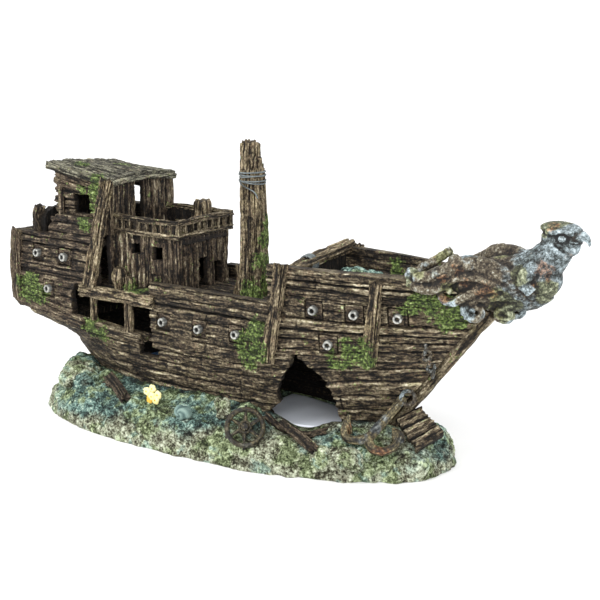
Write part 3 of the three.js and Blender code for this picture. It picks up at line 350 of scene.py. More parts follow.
def wood(a, b, seed, width=4.6, wave=0.7, deep=0.9, grain=0.5, run=60.0):
    """Carved planks. a runs along the grain and b across it. Planks are strips of b bent by noise, cut by butt joints.
    Grain is a set of furrows where long thin noise crosses zero. Returns the height and the tone of the paint; the
    tone carries a painted highlight along each plank's upper edge."""
    bent = b + wave * noise2(a / 26, b / 30, seed) + 0.3 * wave * noise2(a / 8, b / 14, seed + 1)
    row = np.floor(bent / width)
    share = bent / width - row
    zero = np.zeros_like(row, dtype=np.int64)
    pick = lattice(row.astype(np.int64), zero, zero, seed + 2)
    length = run * (0.6 + 0.8 * pick)
    along = a / length + 7 * pick
    part = np.floor(along)
    offset = lattice(row.astype(np.int64), part.astype(np.int64), zero, seed + 3)
    open_seam = 0.2 + 0.8 * smoothstep(noise2(a / 12, row * 1.7, seed + 10), -0.4, 0.3)
    seam = np.exp(-((np.minimum(share, 1 - share) * width / 0.36) ** 2)) * open_seam
    butt = np.exp(-(((along - part) * length / 0.45) ** 2)) * (offset > 0.35)
    wide = np.abs(noise2(a / 16 + 31 * pick, b / 1.25, seed + 4))
    thin = noise2(a / 4.5 + 57 * pick, b / 0.8, seed + 5)
    crack = (1 - smoothstep(wide, 0.0, 0.16)) * smoothstep(noise2(a / 6, b / 5, seed + 11), -0.5, 0.1)
    nick = noise2(a / 1.6, b / 0.8, seed + 12)
    chips = smoothstep(noise2(a / 3.2, b / 1.6, seed + 6), 0.3, 0.65)
    # crest is a painted highlight along each plank's upper edge, where the light from above falls, partly the tan dry
    # brush of the paint.
    crest = np.exp(-(((share - 0.84) * width / 0.5) ** 2)) * smoothstep(noise2(a / 11, b / 30, seed + 9), -0.15, 0.35)
    height = 0.6 * (offset - 0.5) - deep * np.maximum(seam, butt) - grain * crack + 0.4 * grain * thin
    height = height - 0.3 * chips + 0.2 * noise2(a / 9, b / 3, seed + 7) + 0.14 * nick
    crown = 0.35 * (1 - (2 * share - 1) ** 4)
    tone = 0.5 + 0.16 * (offset - 0.5) - 0.7 * np.maximum(seam, butt) - 0.32 * crack + 0.32 * thin + 0.16 * nick
    tone = tone - 0.1 * chips + 0.12 * noise2(a / 13, b / 1.9, seed + 8) + 0.1 * crown + 0.6 * crest - 0.03
    return height + crown, np.clip(tone, 0, 1)


def carve_moss(points, height, tone):
    """Raises moss as soft tufts over the carving and hides the tone below."""
    moss = moss_on(points)
    tufts = 0.5 + 0.5 * fractal(points, 1.5, 411, 2)
    return height + moss * (0.1 + 0.55 * tufts), lerp(tone, 0.45 * tone + 0.5 * tufts, moss)


def slab(place, cells, relief, keep=None, thickness=WALL, turn=1, inner=0.75):
    """A wall with a carved face. place(s, t) gives points and the plane coordinates a, b. The face is moved along its
    normal by relief(a, b, points), and the back lies at the wall's thickness behind it. The back is painted with its
    own
    grain tone times inner, which darkens it: painted shade on the inside of the wall. keep(a, b, points) is how far
    inside the wall's outline a point lies, in millimetres: grid points near its zero line slide onto it, and those
    outside are left out."""
    columns, rows = cells
    s, t = np.meshgrid(np.linspace(0, 1, columns), np.linspace(0, 1, rows), indexing="ij")
    points, a, b = place(s, t)
    normal = turn * np.cross(np.gradient(points, axis=0), np.gradient(points, axis=1))
    normal /= np.maximum(np.linalg.norm(normal, axis=-1, keepdims=True), 1e-9)
    inside = np.ones(s.shape, bool)
    if keep is not None:
        value = keep(a, b, points)
        gs, gt = np.gradient(value)
        square = np.maximum(gs**2 + gt**2, 1e-9)
        ds, dt = -value * gs / square, -value * gt / square
        near = np.hypot(ds, dt) < 0.8
        s = np.clip(np.where(near, s + ds / (columns - 1), s), 0, 1)
        t = np.clip(np.where(near, t + dt / (rows - 1), t), 0, 1)
        points, a, b = place(s, t)
        inside = (value > 0) | near
    height, tone = relief(a, b, points)
    height, tone = carve_moss(points, height, tone)
    face = points + normal * height[..., None]
    rough, under = wood(a + 91, b + 37, 90)
    rear = points - normal * (thickness + 0.6 * rough)[..., None]
    count = columns * rows
    index = np.arange(count).reshape(columns, rows)
    solid = inside[:-1, :-1] & inside[1:, :-1] & inside[1:, 1:] & inside[:-1, 1:]
    quads = np.stack([index[:-1, :-1], index[1:, :-1], index[1:, 1:], index[:-1, 1:]], -1)
    padded = np.pad(solid, 1)
    rims = []
    for (di, dj), (p, q) in {(0, -1): (0, 1), (1, 0): (1, 2), (0, 1): (2, 3), (-1, 0): (3, 0)}.items():
        open_edge = solid & ~padded[1 + di : padded.shape[0] - 1 + di, 1 + dj : padded.shape[1] - 1 + dj]
        edge = quads[open_edge]
        rims.append(np.stack([edge[:, q], edge[:, p], edge[:, p] + count, edge[:, q] + count], -1))
    front = quads[solid]
    faces = np.concatenate([front, front[:, ::-1] + count, *rims])
    if turn < 0:
        faces = faces[:, ::-1]
    used, faces = np.unique(faces, return_inverse=True)
    faces = faces.reshape(-1, 4)
    everything = np.concatenate([face.reshape(-1, 3), rear.reshape(-1, 3)])
    # The back takes its own grain tone times inner: painted shade on the inside of the wall.
    tones = np.concatenate([tone.ravel(), under.ravel() * inner])
    flat = np.stack([a.ravel(), b.ravel(), np.zeros(count)], -1)
    grain = np.concatenate([flat, flat + [91, 37, -thickness]])
    return Skin(everything[used], [faces], tones[used], grain[used])


def frames(path, facing):
    """Along a path: unit tangents, and two unit directions across it, the second as near to facing as can be."""
    tangent = np.gradient(path, axis=0)
    tangent /= np.linalg.norm(tangent, axis=1, keepdims=True)
    facing = np.broadcast_to(np.asarray(facing, float), path.shape)
    second = facing - tangent * np.sum(facing * tangent, axis=1, keepdims=True)
    second /= np.linalg.norm(second, axis=1, keepdims=True)
    return tangent, np.cross(second, tangent), second


def resample(points, step):
    """Evenly spaced points on a smooth curve through the given ones (Catmull-Rom)."""
    p = np.asarray(points, float)
    if len(p) == 2:
        fine = p
    else:
        ends = np.concatenate([[2 * p[0] - p[1]], p, [2 * p[-1] - p[-2]]])
        t = np.linspace(0, 1, 24, endpoint=False)[:, None]
        parts = []
        for i in range(len(p) - 1):
            a, b, c, d = ends[i : i + 4]
            parts.append(0.5 * (2 * b + (c - a) * t + (2 * a - 5 * b + 4 * c - d) * t**2
                                + (3 * b - a - 3 * c + d) * t**3))
        fine = np.concatenate([*parts, p[-1:]])
    length = np.concatenate([[0], np.cumsum(np.linalg.norm(np.diff(fine, axis=0), axis=1))])
    count = max(int(length[-1] / step), 3) + 1
    where = np.linspace(0, length[-1], count)
    return np.stack([np.interp(where, length, fine[:, k]) for k in range(3)], -1), where


def sweep(points, width, depth, facing=(0, -1, 0), around=28, step=0.9, power=4.0, relief=None, seed=0,
          ragged=(0.0, 0.0), grain=0.45, mossy=True, tint=0.0, pitch=1.05):
    """A bar along a path. Its section is |x/w|^n + |y/d|^n = 1, w and d may change along it, and its surface is moved
    outwards by furrowed noise that runs lengthwise. Each end is drawn in to a point in two rings, and a ragged end is
    pulled out by a different length for each grain."""
    path, where = resample(points, step)
    share = where / where[-1]
    tangent, first, second = frames(path, facing)
    w = (width(share) if callable(width) else np.full(len(path), float(width))) / 2
    d = (depth(share) if callable(depth) else np.full(len(path), float(depth))) / 2
    angle = np.linspace(0, 2 * math.pi, around, endpoint=False)
    c, s = np.cos(angle), np.sin(angle)
    radius = (np.abs(c) ** power + np.abs(s) ** power) ** (-1 / power)
    x, y = c * radius, s * radius
    girth = np.stack([x * w.mean(), y * d.mean()], -1)
    girth_steps = np.linalg.norm(np.diff(girth, axis=0, append=girth[:1]), axis=1)
    around_at = np.concatenate([[0], np.cumsum(girth_steps)])[:-1]
    if relief is None:
        lines = noise3(where[:, None] / 15, (x * w.mean())[None] / pitch, (y * d.mean())[None] / pitch, seed)
        fine = noise3(where[:, None] / 7, (x * w.mean())[None] / 0.55, (y * d.mean())[None] / 0.55, seed + 1)
        furrow = 1 - smoothstep(np.abs(lines), 0, 0.34)
        height = -grain * furrow - 0.35 * grain * (1 - smoothstep(np.abs(fine), 0, 0.3)) + 0.2 * grain * lines
        tone = 0.72 - 0.62 * furrow + 0.18 * fine
    else:
        height, tone = relief(where[:, None], angle[None], path[:, None, :])
        height, tone = np.broadcast_to(height, (len(path), around)), np.broadcast_to(tone, (len(path), around))

    def laid(sx, sy):
        return path[:, None] + sx[..., None] * first[:, None] + sy[..., None] * second[:, None]

    if mossy:
        height, tone = carve_moss(laid(x[None] * w[:, None], y[None] * d[:, None]), height, tone)
    reach = np.maximum(np.minimum(w, d), 0.2)[:, None]
    height = np.maximum(height, -0.6 * reach)
    sx = x[None] * (w[:, None] + height)
    sy = y[None] * (d[:, None] + height)
    body = laid(sx, sy)
    for end, amount in ((0, ragged[0]), (-1, ragged[1])):
        if amount:
            pull = amount * (0.5 + 0.5 * noise2(around_at / 1.3, 0 * around_at, seed + 40 + end)) - 0.5 * amount
            pull = pull + 0.3 * amount * noise2(around_at / 0.7, 0 * around_at, seed + 50 + end)
            fade = np.exp(-np.abs(where - where[end]) / max(amount, 1.0))
            sign = -1 if end == 0 else 1
            body = body + sign * (fade[:, None] * pull[None])[..., None] * tangent[:, None]
    rings = [body]
    tones = [tone]
    for end in (0, -1):
        middle = body[end].mean(axis=0)
        bump = 0.25 * noise2(sx[end] / 0.8, sy[end] / 0.8, seed + 60)[:, None] * tangent[end]
        shrunk = [middle + (body[end] - middle) * k + bump * (1 - k) for k in (0.72, 0.36)]
        dark = [tone[end] * 0.8, tone[end] * 0.7]
        if end == 0:
            rings = [np.stack(shrunk[::-1]), *rings]
            tones = [np.stack(dark[::-1]), *tones]
        else:
            rings = [*rings, np.stack(shrunk)]
            tones = [*tones, np.stack(dark)]
    full = np.concatenate(rings)
    rows = len(full)
    tip0, tip1 = full[0].mean(axis=0), full[-1].mean(axis=0)
    points_out = np.concatenate([full.reshape(-1, 3), [tip0, tip1]])
    faces = [grid_faces(rows, around, wrap=True), *end_caps(rows, around)]
    tone_out = np.concatenate([np.concatenate(tones).ravel(), [0.4, 0.4]])
    length = np.concatenate([[where[0]] * 2, where, [where[-1]] * 2])
    local = np.stack([np.repeat(length, around), np.tile(x * w.mean(), rows), np.tile(y * d.mean(), rows)], -1)
    local = np.concatenate([local, [[where[0], 0, 0], [where[-1], 0, 0]]]) + [seed * 13.7, 0, 0]
    return face_out(Skin(points_out, faces, np.clip(tone_out, 0, 1), local, np.full(len(points_out), tint)))


def hoop(centre, across, upward, radius, thick, around=16, steps=64, seed=0, depth=None):
    """A closed ring: a round section carried round a circle in the plane of two directions."""
    centre, across, upward = (np.asarray(v, float) for v in (centre, across, upward))
    angle = np.linspace(0, 2 * math.pi, steps, endpoint=False)
    turn = np.linspace(0, 2 * math.pi, around, endpoint=False)
    outward = np.cos(angle)[:, None] * across + np.sin(angle)[:, None] * upward
    axle = np.cross(across, upward)
    wide, tall = outward[:, None, 0], outward[:, None, 2]
    rough = 0.16 * noise3(wide * 6, tall * 6 + np.cos(turn)[None], np.sin(turn)[None] * 2, seed)
    r = thick / 2 * (1 + rough)
    flat = (depth or thick) / thick
    ring = centre + outward[:, None] * (radius + r * np.cos(turn)[None])[..., None]
    ring = ring + axle * (flat * r * np.sin(turn)[None])[..., None]
    index = np.arange(steps * around).reshape(steps, around)
    ahead = np.roll(index, -1, axis=0)
    faces = np.stack([index, np.roll(index, -1, axis=1), np.roll(ahead, -1, axis=1), ahead], -1).reshape(-1, 4)
    return face_out(Skin(ring.reshape(-1, 3), [faces], 0.5 + 1.5 * rough.ravel()))


def face_out(skin):
    """Turns a closed skin's faces so that its enclosed volume is positive."""
    total = 0.0
    origin = skin.points.mean(axis=0)
    for group in skin.faces:
        p = [skin.points[group[:, k]] - origin for k in range(group.shape[1])]
        for k in range(1, group.shape[1] - 1):
            total += np.einsum("ij,ij->i", p[0], np.cross(p[k], p[k + 1])).sum()
    if total < 0:
        skin.faces = [f[:, ::-1] for f in skin.faces]
    return skin


def lump(centre, radii, relief, around=96, rows=48, tilt=None, tint=0.0):
    """A closed boulder: a sphere of rings and columns, stretched by its radii and moved outwards by relief(points)."""
    u = np.linspace(0, 2 * math.pi, around, endpoint=False)
    v = np.linspace(0, math.pi, rows + 2)[1:-1]
    ball = np.stack([np.outer(np.sin(v), np.cos(u)), np.outer(np.sin(v), np.sin(u)),
                     np.outer(np.cos(v), np.ones(around))], -1)
    ends = np.array([[0, 0, 1.0], [0, 0, -1.0]])
    ball = np.concatenate([ball.reshape(-1, 3), ends])
    radii = np.asarray(radii, float)
    points = ball * radii
    if tilt is not None:
        points = points @ np.asarray(tilt).T
    points = points + np.asarray(centre, float)
    normal = ball / radii
    normal /= np.linalg.norm(normal, axis=1, keepdims=True)
    if tilt is not None:
        normal = normal @ np.asarray(tilt).T
    height, tone = relief(points)
    points = points + normal * height[:, None]
    faces = [grid_faces(rows, around, wrap=True), *end_caps(rows, around)]
    return face_out(Skin(points, faces, tone, tint=np.full(len(points), tint)))


# ---------------------------------------------------------------- shaders


class Num:
    """A number socket that can be used in sums."""

    def __init__(self, paint, socket):
        self.paint, self.socket = paint, socket

    def calc(self, operation, *others):
        node = self.paint.node("ShaderNodeMath", {"operation": operation}, *[self.paint.plain(o) for o in others])
        return Num(self.paint, node.outputs[0])

    def __add__(self, other):
        return self.calc("ADD", self, other)

    def __radd__(self, other):
        return self.calc("ADD", other, self)

    def __sub__(self, other):
        return self.calc("SUBTRACT", self, other)

    def __rsub__(self, other):
        return self.calc("SUBTRACT", other, self)

    def __mul__(self, other):
        return self.calc("MULTIPLY", self, other)

    def __rmul__(self, other):
        return self.calc("MULTIPLY", other, self)

    def __abs__(self):
        return self.calc("ABSOLUTE", self)

    def ease(self, low, high):
        """0 below low and 1 above high, with a smooth curve between."""
        node = self.paint.node("ShaderNodeMapRange", {"interpolation_type": "SMOOTHSTEP"}, self, low, high, 0.0, 1.0)
        return Num(self.paint, node.outputs[0])


def rgb(text):
    """A hex colour as linear red, green, blue and alpha."""
    parts = [int(text[i : i + 2], 16) / 255 for i in (1, 3, 5)]
    return tuple(p / 12.92 if p <= 0.04045 else ((p + 0.055) / 1.055) ** 2.4 for p in parts) + (1.0,)


class Paint:
    """Builds one material's nodes."""

    def __init__(self, name):
        self.material = bpy.data.materials.new(name)
        self.material.use_nodes = True
        self.tree = self.material.node_tree
        self.shader = self.tree.nodes["Principled BSDF"]

    @staticmethod
    def plain(value):
        return value.socket if isinstance(value, Num) else value

    def feed(self, socket, value):
        """Links a value that a node puts out, or sets a plain one."""
        value = self.plain(value)
        if isinstance(value, bpy.types.NodeSocket):
            self.tree.links.new(value, socket)
        else:
            socket.default_value = value

    def node(self, kind, settings=None, *inputs, **named):
        """A node of a type, with its settings made first, then its sockets' values or links."""
        made = self.tree.nodes.new(kind)
        for key, value in (settings or {}).items():
            if key == "stops":
                ramp = made.color_ramp
                while len(ramp.elements) > 1:
                    ramp.elements.remove(ramp.elements[-1])
                ramp.elements[0].position, ramp.elements[0].color = value[0][0], rgb(value[0][1])
                for position, colour in value[1:]:
                    ramp.elements.new(position).color = rgb(colour)
            else:
                setattr(made, key, value)
        for socket, value in zip(made.inputs, inputs):
            self.feed(socket, value)
        for key, value in named.items():
            self.feed(made.inputs[key], value)
        return made

    def attribute(self, name, output="Fac"):
        made = self.node("ShaderNodeAttribute", {"attribute_name": name})
        return Num(self, made.outputs[output])

    def place(self, scale=(1, 1, 1), source=None):
        """The object's own coordinates, or another vector, times a scale on each axis."""
        if source is None:
            source = self.node("ShaderNodeTexCoord").outputs["Object"]
        made = self.node("ShaderNodeVectorMath", {"operation": "MULTIPLY"}, source, tuple(scale))
        return made.outputs[0]

    def noise(self, vector, scale, detail=3.0, rough=0.55):
        made = self.node("ShaderNodeTexNoise", None, vector, Scale=scale, Detail=detail, Roughness=rough)
        return Num(self, made.outputs["Fac"])

    def ramp(self, value, stops):
        return self.node("ShaderNodeValToRGB", {"stops": stops}, value).outputs["Color"]

    def mix(self, factor, one, other, blend="MIX"):
        made = self.node("ShaderNodeMix", {"data_type": "RGBA", "blend_type": blend})
        for socket, value in zip((made.inputs[0], made.inputs[6], made.inputs[7]), (factor, one, other)):
            self.feed(socket, value)
        return made.outputs[2]

    def finish(self, colour, roughness, height=None, depth=0.4, specular=0.35):
        """Links the finished colour, roughness and height, whose depth is in millimetres."""
        finished = {"Base Color": colour, "Roughness": roughness, "Specular IOR Level": specular}
        if height is not None:
            finished["Normal"] = self.node("ShaderNodeBump", None, 1.0, depth * MM, Height=height).outputs[0]
        for key, value in finished.items():
            self.feed(self.shader.inputs[key], value)
        return self.material


def paint_wood(name, stops, grey):
    """Painted timber: a dark wash in the furrows, a tan dry brush on the ridges, and moss. The tone it reads also
    carries painted highlights and painted shade from the carving.
    """
    p = Paint(name)
    grain = p.attribute("grain", "Vector")
    tone = p.attribute("tone")
    long = p.noise(p.place((0.1, 0.85, 0.85), grain), 1.0, 3.0, 0.6)
    fine = p.noise(p.place((0.7, 1.35, 1.35), grain), 1.0, 3.0, 0.7)
    blotch = p.noise(p.place(), 55.0, 3.0)
    hue = p.noise(p.place(), 210.0, 3.0)
    speck = p.noise(p.place(), 900.0, 2.0)
    furrow = abs(long - 0.5).ease(0.0, 0.035)
    crest = long.ease(0.56, 0.64)
    value = tone * 0.72 + (fine - 0.5) * 1.25 + (furrow - 0.8) * 0.26 + crest * 0.14
    value = value + (blotch - 0.5) * 0.3 + (speck - 0.5) * 0.5 - 0.035
    colour = p.ramp(value, stops)
    colour = p.mix(hue.ease(0.52, 0.66) * 0.5, colour, p.mix(1.0, colour, rgb("#f2dcd6"), "MULTIPLY"))
    colour = p.mix((1 - hue).ease(0.54, 0.68) * 0.5, colour, p.mix(1.0, colour, rgb("#e9eed2"), "MULTIPLY"))
    weathered = p.mix(0.85, colour, rgb("#8d8a7b"), "SOFT_LIGHT")
    colour = p.mix(blotch.ease(0.48, 0.72) * grey, colour, weathered)
    moss = p.attribute("moss")
    tuft = p.noise(p.place(), 760.0, 3.0, 0.75)
    strand = p.noise(p.place(), 210.0, 2.0)
    cover = (moss * 0.9 + (tuft - 0.5) * 2.2 + (strand - 0.5) * 1.6 + (tone - 0.5) * 0.5).ease(0.42, 0.7)
    leaf = (tuft - 0.5) * 1.3 + (speck - 0.5) * 1.1 + tone * 0.4 + 0.27
    green = p.ramp(leaf, [(0.15, "#12170b"), (0.36, "#2c391a"), (0.52, "#50642d"), (0.68, "#7c904d"), (0.84, "#a5b57c"),
                          (1.0, "#cfd8b0")])
    colour = p.mix(cover * 0.9, colour, green)
    height = fine * 0.7 + furrow * 0.6 + speck * 0.3 + cover * tuft * 1.0
    return p.finish(colour, value * 0.1 + 0.72, height, 0.32, 0.3)


TIMBER_STOPS = [(0.0, "#070503"), (0.16, "#1c160f"), (0.32, "#41372a"), (0.5, "#665b48"), (0.66, "#887d67"),
                (0.82, "#b5aa90"), (1.0, "#ddd6bf")]
# The brown timber is a redder and darker copy of the timber: partly the browner paint of the castle, partly painted
# shade.
BROWN_AND_SHADED_STOPS = [(0.0, "#060403"), (0.18, "#1b140e"), (0.35, "#3c3125"), (0.53, "#5c5041"), (0.7, "#7d715d"),
               (0.86, "#aba088"), (1.0, "#d3cab2")]
DARK_STOPS = [(0.0, "#050403"), (0.22, "#17120c"), (0.4, "#342b21"), (0.58, "#54493b"), (0.76, "#786c58"),
              (0.92, "#a19579"), (1.0, "#bfb397")]
PALE_STOPS = [(0.0, "#090705"), (0.16, "#211a12"), (0.32, "#483d2e"), (0.48, "#6c604b"), (0.64, "#90836a"),
              (0.8, "#b9ac90"), (1.0, "#dfd7bf")]
GREY_STOPS = [(0.0, "#100f0b"), (0.18, "#2e2c24"), (0.34, "#525044"), (0.5, "#757364"), (0.66, "#93917c"),
              (0.82, "#b2b09a"), (1.0, "#d0cebb")]


def paint_reef(name):
    """Painted rock and coral: teal higher up and in patches, soil in patches, sand and olive below, and pale tips. Near
    the ship the seabed's tone carries painted shade, which darkens all of these.
    """
    p = Paint(name)
    tone = p.attribute("tone")
    tint = p.attribute("tint")
    coarse = p.noise(p.place(), 42.0, 4.0, 0.6)
    zone = p.noise(p.place(), 75.0, 4.0, 0.6)
    patch = p.noise(p.place((1, 1, 1)), 130.0, 3.0, 0.6)
    grit = p.noise(p.place(), 480.0, 4.0, 0.7)
    fine = p.noise(p.place(), 1100.0, 3.0, 0.7)
    value = tone * 0.75 + (grit - 0.5) * 1.2 + (fine - 0.5) * 1.3 + (patch - 0.5) * 0.7 + 0.02
    teal = p.ramp(value, [(0.0, "#0c1413"), (0.2, "#2c3a36"), (0.38, "#567069"), (0.56, "#88a196"), (0.74, "#bacab8"),
                          (1.0, "#eaf0df")])
    sand = p.ramp(value, [(0.0, "#1d1c14"), (0.16, "#4d4b3a"), (0.32, "#828571"), (0.5, "#afb59d"), (0.7, "#d8ddc8"),
                          (1.0, "#fafcf1")])
    olive = p.ramp(value,
                   [(0.0, "#1b2112"), (0.2, "#4a5535"), (0.42, "#838f69"), (0.62, "#afbe92"), (0.82, "#d2ddb8"),
                    (1.0, "#f0f5dc")])
    soil = p.ramp(value, [(0.0, "#0c0a07"), (0.3, "#332b20"), (0.6, "#655a48"), (0.85, "#9b8e76"), (1.0, "#c8bda2")])
    colour = p.mix((coarse * 0.9 + tint * 0.75 - 0.2).ease(0.4, 0.62), teal, sand)
    colour = p.mix(zone.ease(0.46, 0.58) * 0.85, colour, olive)
    colour = p.mix(patch.ease(0.56, 0.66) * 0.7, colour, teal)
    colour = p.mix((1 - zone).ease(0.6, 0.7) * 0.6, colour, soil)
    return p.finish(colour, 0.85, grit * 0.8 + fine * 0.4, 0.5, 0.25)


def paint_patina(name):
    """Mottled paint on the figurehead: pale blue-grey granules over dark brown, with rust and olive patches."""
    p = Paint(name)
    tone = p.attribute("tone")
    broad = p.noise(p.place(), 95.0, 4.0, 0.6)
    speck = p.noise(p.place(), 1000.0, 3.0, 0.75)
    pits = p.noise(p.place(), 420.0, 4.0, 0.7)
    value = tone * 0.8 + (speck - 0.5) * 1.45 + (pits - 0.5) * 0.7 - 0.06
    blue = p.ramp(value, [(0.0, "#0b0c0d"), (0.2, "#2f3433"), (0.38, "#5a6364"), (0.55, "#838f93"), (0.72, "#b0bdc2"),
                          (1.0, "#e6eff1")])
    brown = p.ramp(value,
                   [(0.0, "#080604"), (0.2, "#261f17"), (0.38, "#463d30"), (0.55, "#6c6453"), (0.72, "#959282"),
                    (1.0, "#d3d8d2")])
    rust = p.ramp(value, [(0.0, "#0f0704"), (0.25, "#3a2416"), (0.45, "#6d482c"), (0.65, "#9a714c"), (1.0, "#cfae8c")])
    olive = p.ramp(value, [(0.0, "#0b0b05"), (0.25, "#2d2d19"), (0.45, "#585a37"), (0.65, "#878960"), (1.0, "#c4c59f")])
    bloom = p.attribute("bloom")
    colour = p.mix((bloom + (broad - 0.5) * 1.6 + (pits - 0.5) * 0.8).ease(0.3, 0.7), brown, blue)
    mossy = broad * 1.3 + p.attribute("moss") * 0.7 + (speck - 0.5) * 0.7 - 0.42
    colour = p.mix(mossy.ease(0.42, 0.7) * 0.8, colour, olive)
    flame = p.noise(p.place((1, 1.2, 0.8)), 210.0, 4.0, 0.7)
    rusty = flame * 1.6 + p.attribute("tint") * 0.38 + (speck - 0.5) * 0.9 - 0.5
    colour = p.mix(rusty.ease(0.5, 0.78) * 0.7, colour, rust)
    return p.finish(colour, 0.66, speck * 0.6 + pits * 0.8, 0.4, 0.35)


def paint_rust(name, shift=0.11, rusty=0.7):
    """Painted iron: dark olive brown, with rust on some edges and a little blue-grey bloom."""
    p = Paint(name)
    tone = p.attribute("tone")
    broad = p.noise(p.place(), 130.0, 3.0)
    fine = p.noise(p.place(), 800.0, 3.0, 0.7)
    value = tone * 0.55 + (fine - 0.5) * 1.5 + shift
    iron = p.ramp(value, [(0.0, "#080705"), (0.25, "#2a2519"), (0.45, "#514934"), (0.65, "#807656"), (0.85, "#ada487"),
                          (1.0, "#cfc8ae")])
    rust = p.ramp(value, [(0.0, "#120a06"), (0.3, "#4a2a18"), (0.55, "#7f4f31"), (1.0, "#bf916a")])
    bloom = p.ramp(value, [(0.0, "#101214"), (0.35, "#474e51"), (0.65, "#7c868c"), (1.0, "#bcc6cc")])
    colour = p.mix(broad.ease(0.58, 0.7) * rusty, iron, rust)
    colour = p.mix((1 - broad).ease(0.56, 0.66) * rusty, colour, bloom)
    return p.finish(colour, 0.65, fine, 0.3, 0.4)


def paint_plain(name, stops, rough, size, depth=0.2, specular=0.35):
    """A speckled coat of one hue, lighter where its tone is high."""
    p = Paint(name)
    tone = p.attribute("tone")
    fine = p.noise(p.place(), size, 3.0, 0.6)
    return p.finish(p.ramp(tone * 0.6 + fine * 0.5 - 0.05, stops), rough, fine, depth, specular)


# Each finish: what makes it, the material's name, and its settings.
FINISHES = {
    "wood": (paint_wood, "old_timber", TIMBER_STOPS, 0.4),
    "dark": (paint_wood, "dark_timber", DARK_STOPS, 0.3),
    "brown": (paint_wood, "brown_timber", BROWN_AND_SHADED_STOPS, 0.3),
    "pale": (paint_wood, "bleached_timber", PALE_STOPS, 0.5),
    "grey": (paint_wood, "grey_boards", GREY_STOPS, 0.5),
    "reef": (paint_reef, "reef_rock"),
    "floor": (paint_plain, "smooth_floor", [(0.0, "#d6dce6"), (0.5, "#e9eef6"), (1.0, "#f8fbff")], 0.7, 90.0, 0.05),
    "patina": (paint_patina, "carved_figure"),
    "rust": (paint_rust, "old_iron"),
    "wheel": (paint_rust, "old_wheel", -0.02, 0.3),
    "muzzle": (paint_plain, "gun_muzzle",
               [(0.0, "#070707"), (0.25, "#343433"), (0.5, "#757672"), (0.75, "#adada6"), (1.0, "#d3d2c9")], 0.55,
               700.0),
    "rope": (paint_plain, "wet_rope", [(0.0, "#17191a"), (0.35, "#474c4d"), (0.65, "#7e8687"), (1.0, "#b6bdbc")], 0.85,
             900.0),
    "petal": (paint_plain, "anemone_petals", [(0.0, "#b9761d"), (0.3, "#e0b545"), (0.6, "#f1e6a0"), (1.0, "#fbf7dc")],
              0.6, 300.0),
    "shell": (paint_plain, "shell_glaze", [(0.0, "#27332f"), (0.35, "#4f6461"), (0.6, "#7a918a"), (1.0, "#aebdae")],
              0.75, 420.0, 0.3, 0.25),
    "plastic": (paint_plain, "air_fitting", [(0.0, "#9aa5a8"), (0.5, "#c3cccd"), (1.0, "#e3e9e9")], 0.35, 120.0, 0.03,
                0.5),
    "grit": (paint_plain, "air_stone_grit", [(0.0, "#1d3050"), (0.4, "#456b93"), (0.7, "#7a9dbd"), (1.0, "#aac3d6")],
             0.95, 1400.0, 0.5),
}
PAINTS = {}


def paints():
    """All finishes, made once."""
    if not PAINTS:
        for key, (make, *settings) in FINISHES.items():
            PAINTS[key] = make(*settings)
    return PAINTS


# ---------------------------------------------------------------- pieces


def band(value, low, high, edge=0.5):
    """1 between two heights and 0 outside, with soft edges."""
    return smoothstep(value, low - edge, low + edge) * (1 - smoothstep(value, high - edge, high + edge))


def hull_place(side, x_ends, z_ends, grain_line):
    """Points on the hull's side for the shares s and t of a panel with ends x and edges z, which may each depend on the
    other. Across the grain, b is the height above a line that the planks follow."""

    def place(s, t):
        # x and z depend on each other, so both are found in a few rounds from a middle height.
        z = np.full_like(s, 60.0)
        for _ in range(4):
            x = lerp(x_ends[0](z), x_ends[1](z), s)
            z = lerp(z_ends[0](x), z_ends[1](x), t)
        return np.stack([x, side * half_beam(x, z), z], -1), x, z - grain_line(x, z)

    return place


def fixed(value):
    """An edge that stays in one place, whatever the other coordinate is."""
    return lambda other: np.full_like(np.asarray(other, float), value)


# Heights and places along the ship at which a panel's span is measured.
SPAN_HEIGHTS = np.array([45.0, 80.0])
SPAN_PLACES = np.array([-140.0, 0.0, 60.0])


def ports(guns, size=PORT_SIZE + 0.4):
    """Distance outside a row of square ports."""

    def keep(x, z):
        far = np.full(np.shape(x), 99.0)
        for gx, gz in guns:
            far = np.minimum(far, np.maximum(np.abs(x - gx), np.abs(z - gz)) - size / 2)
        return far

    return keep


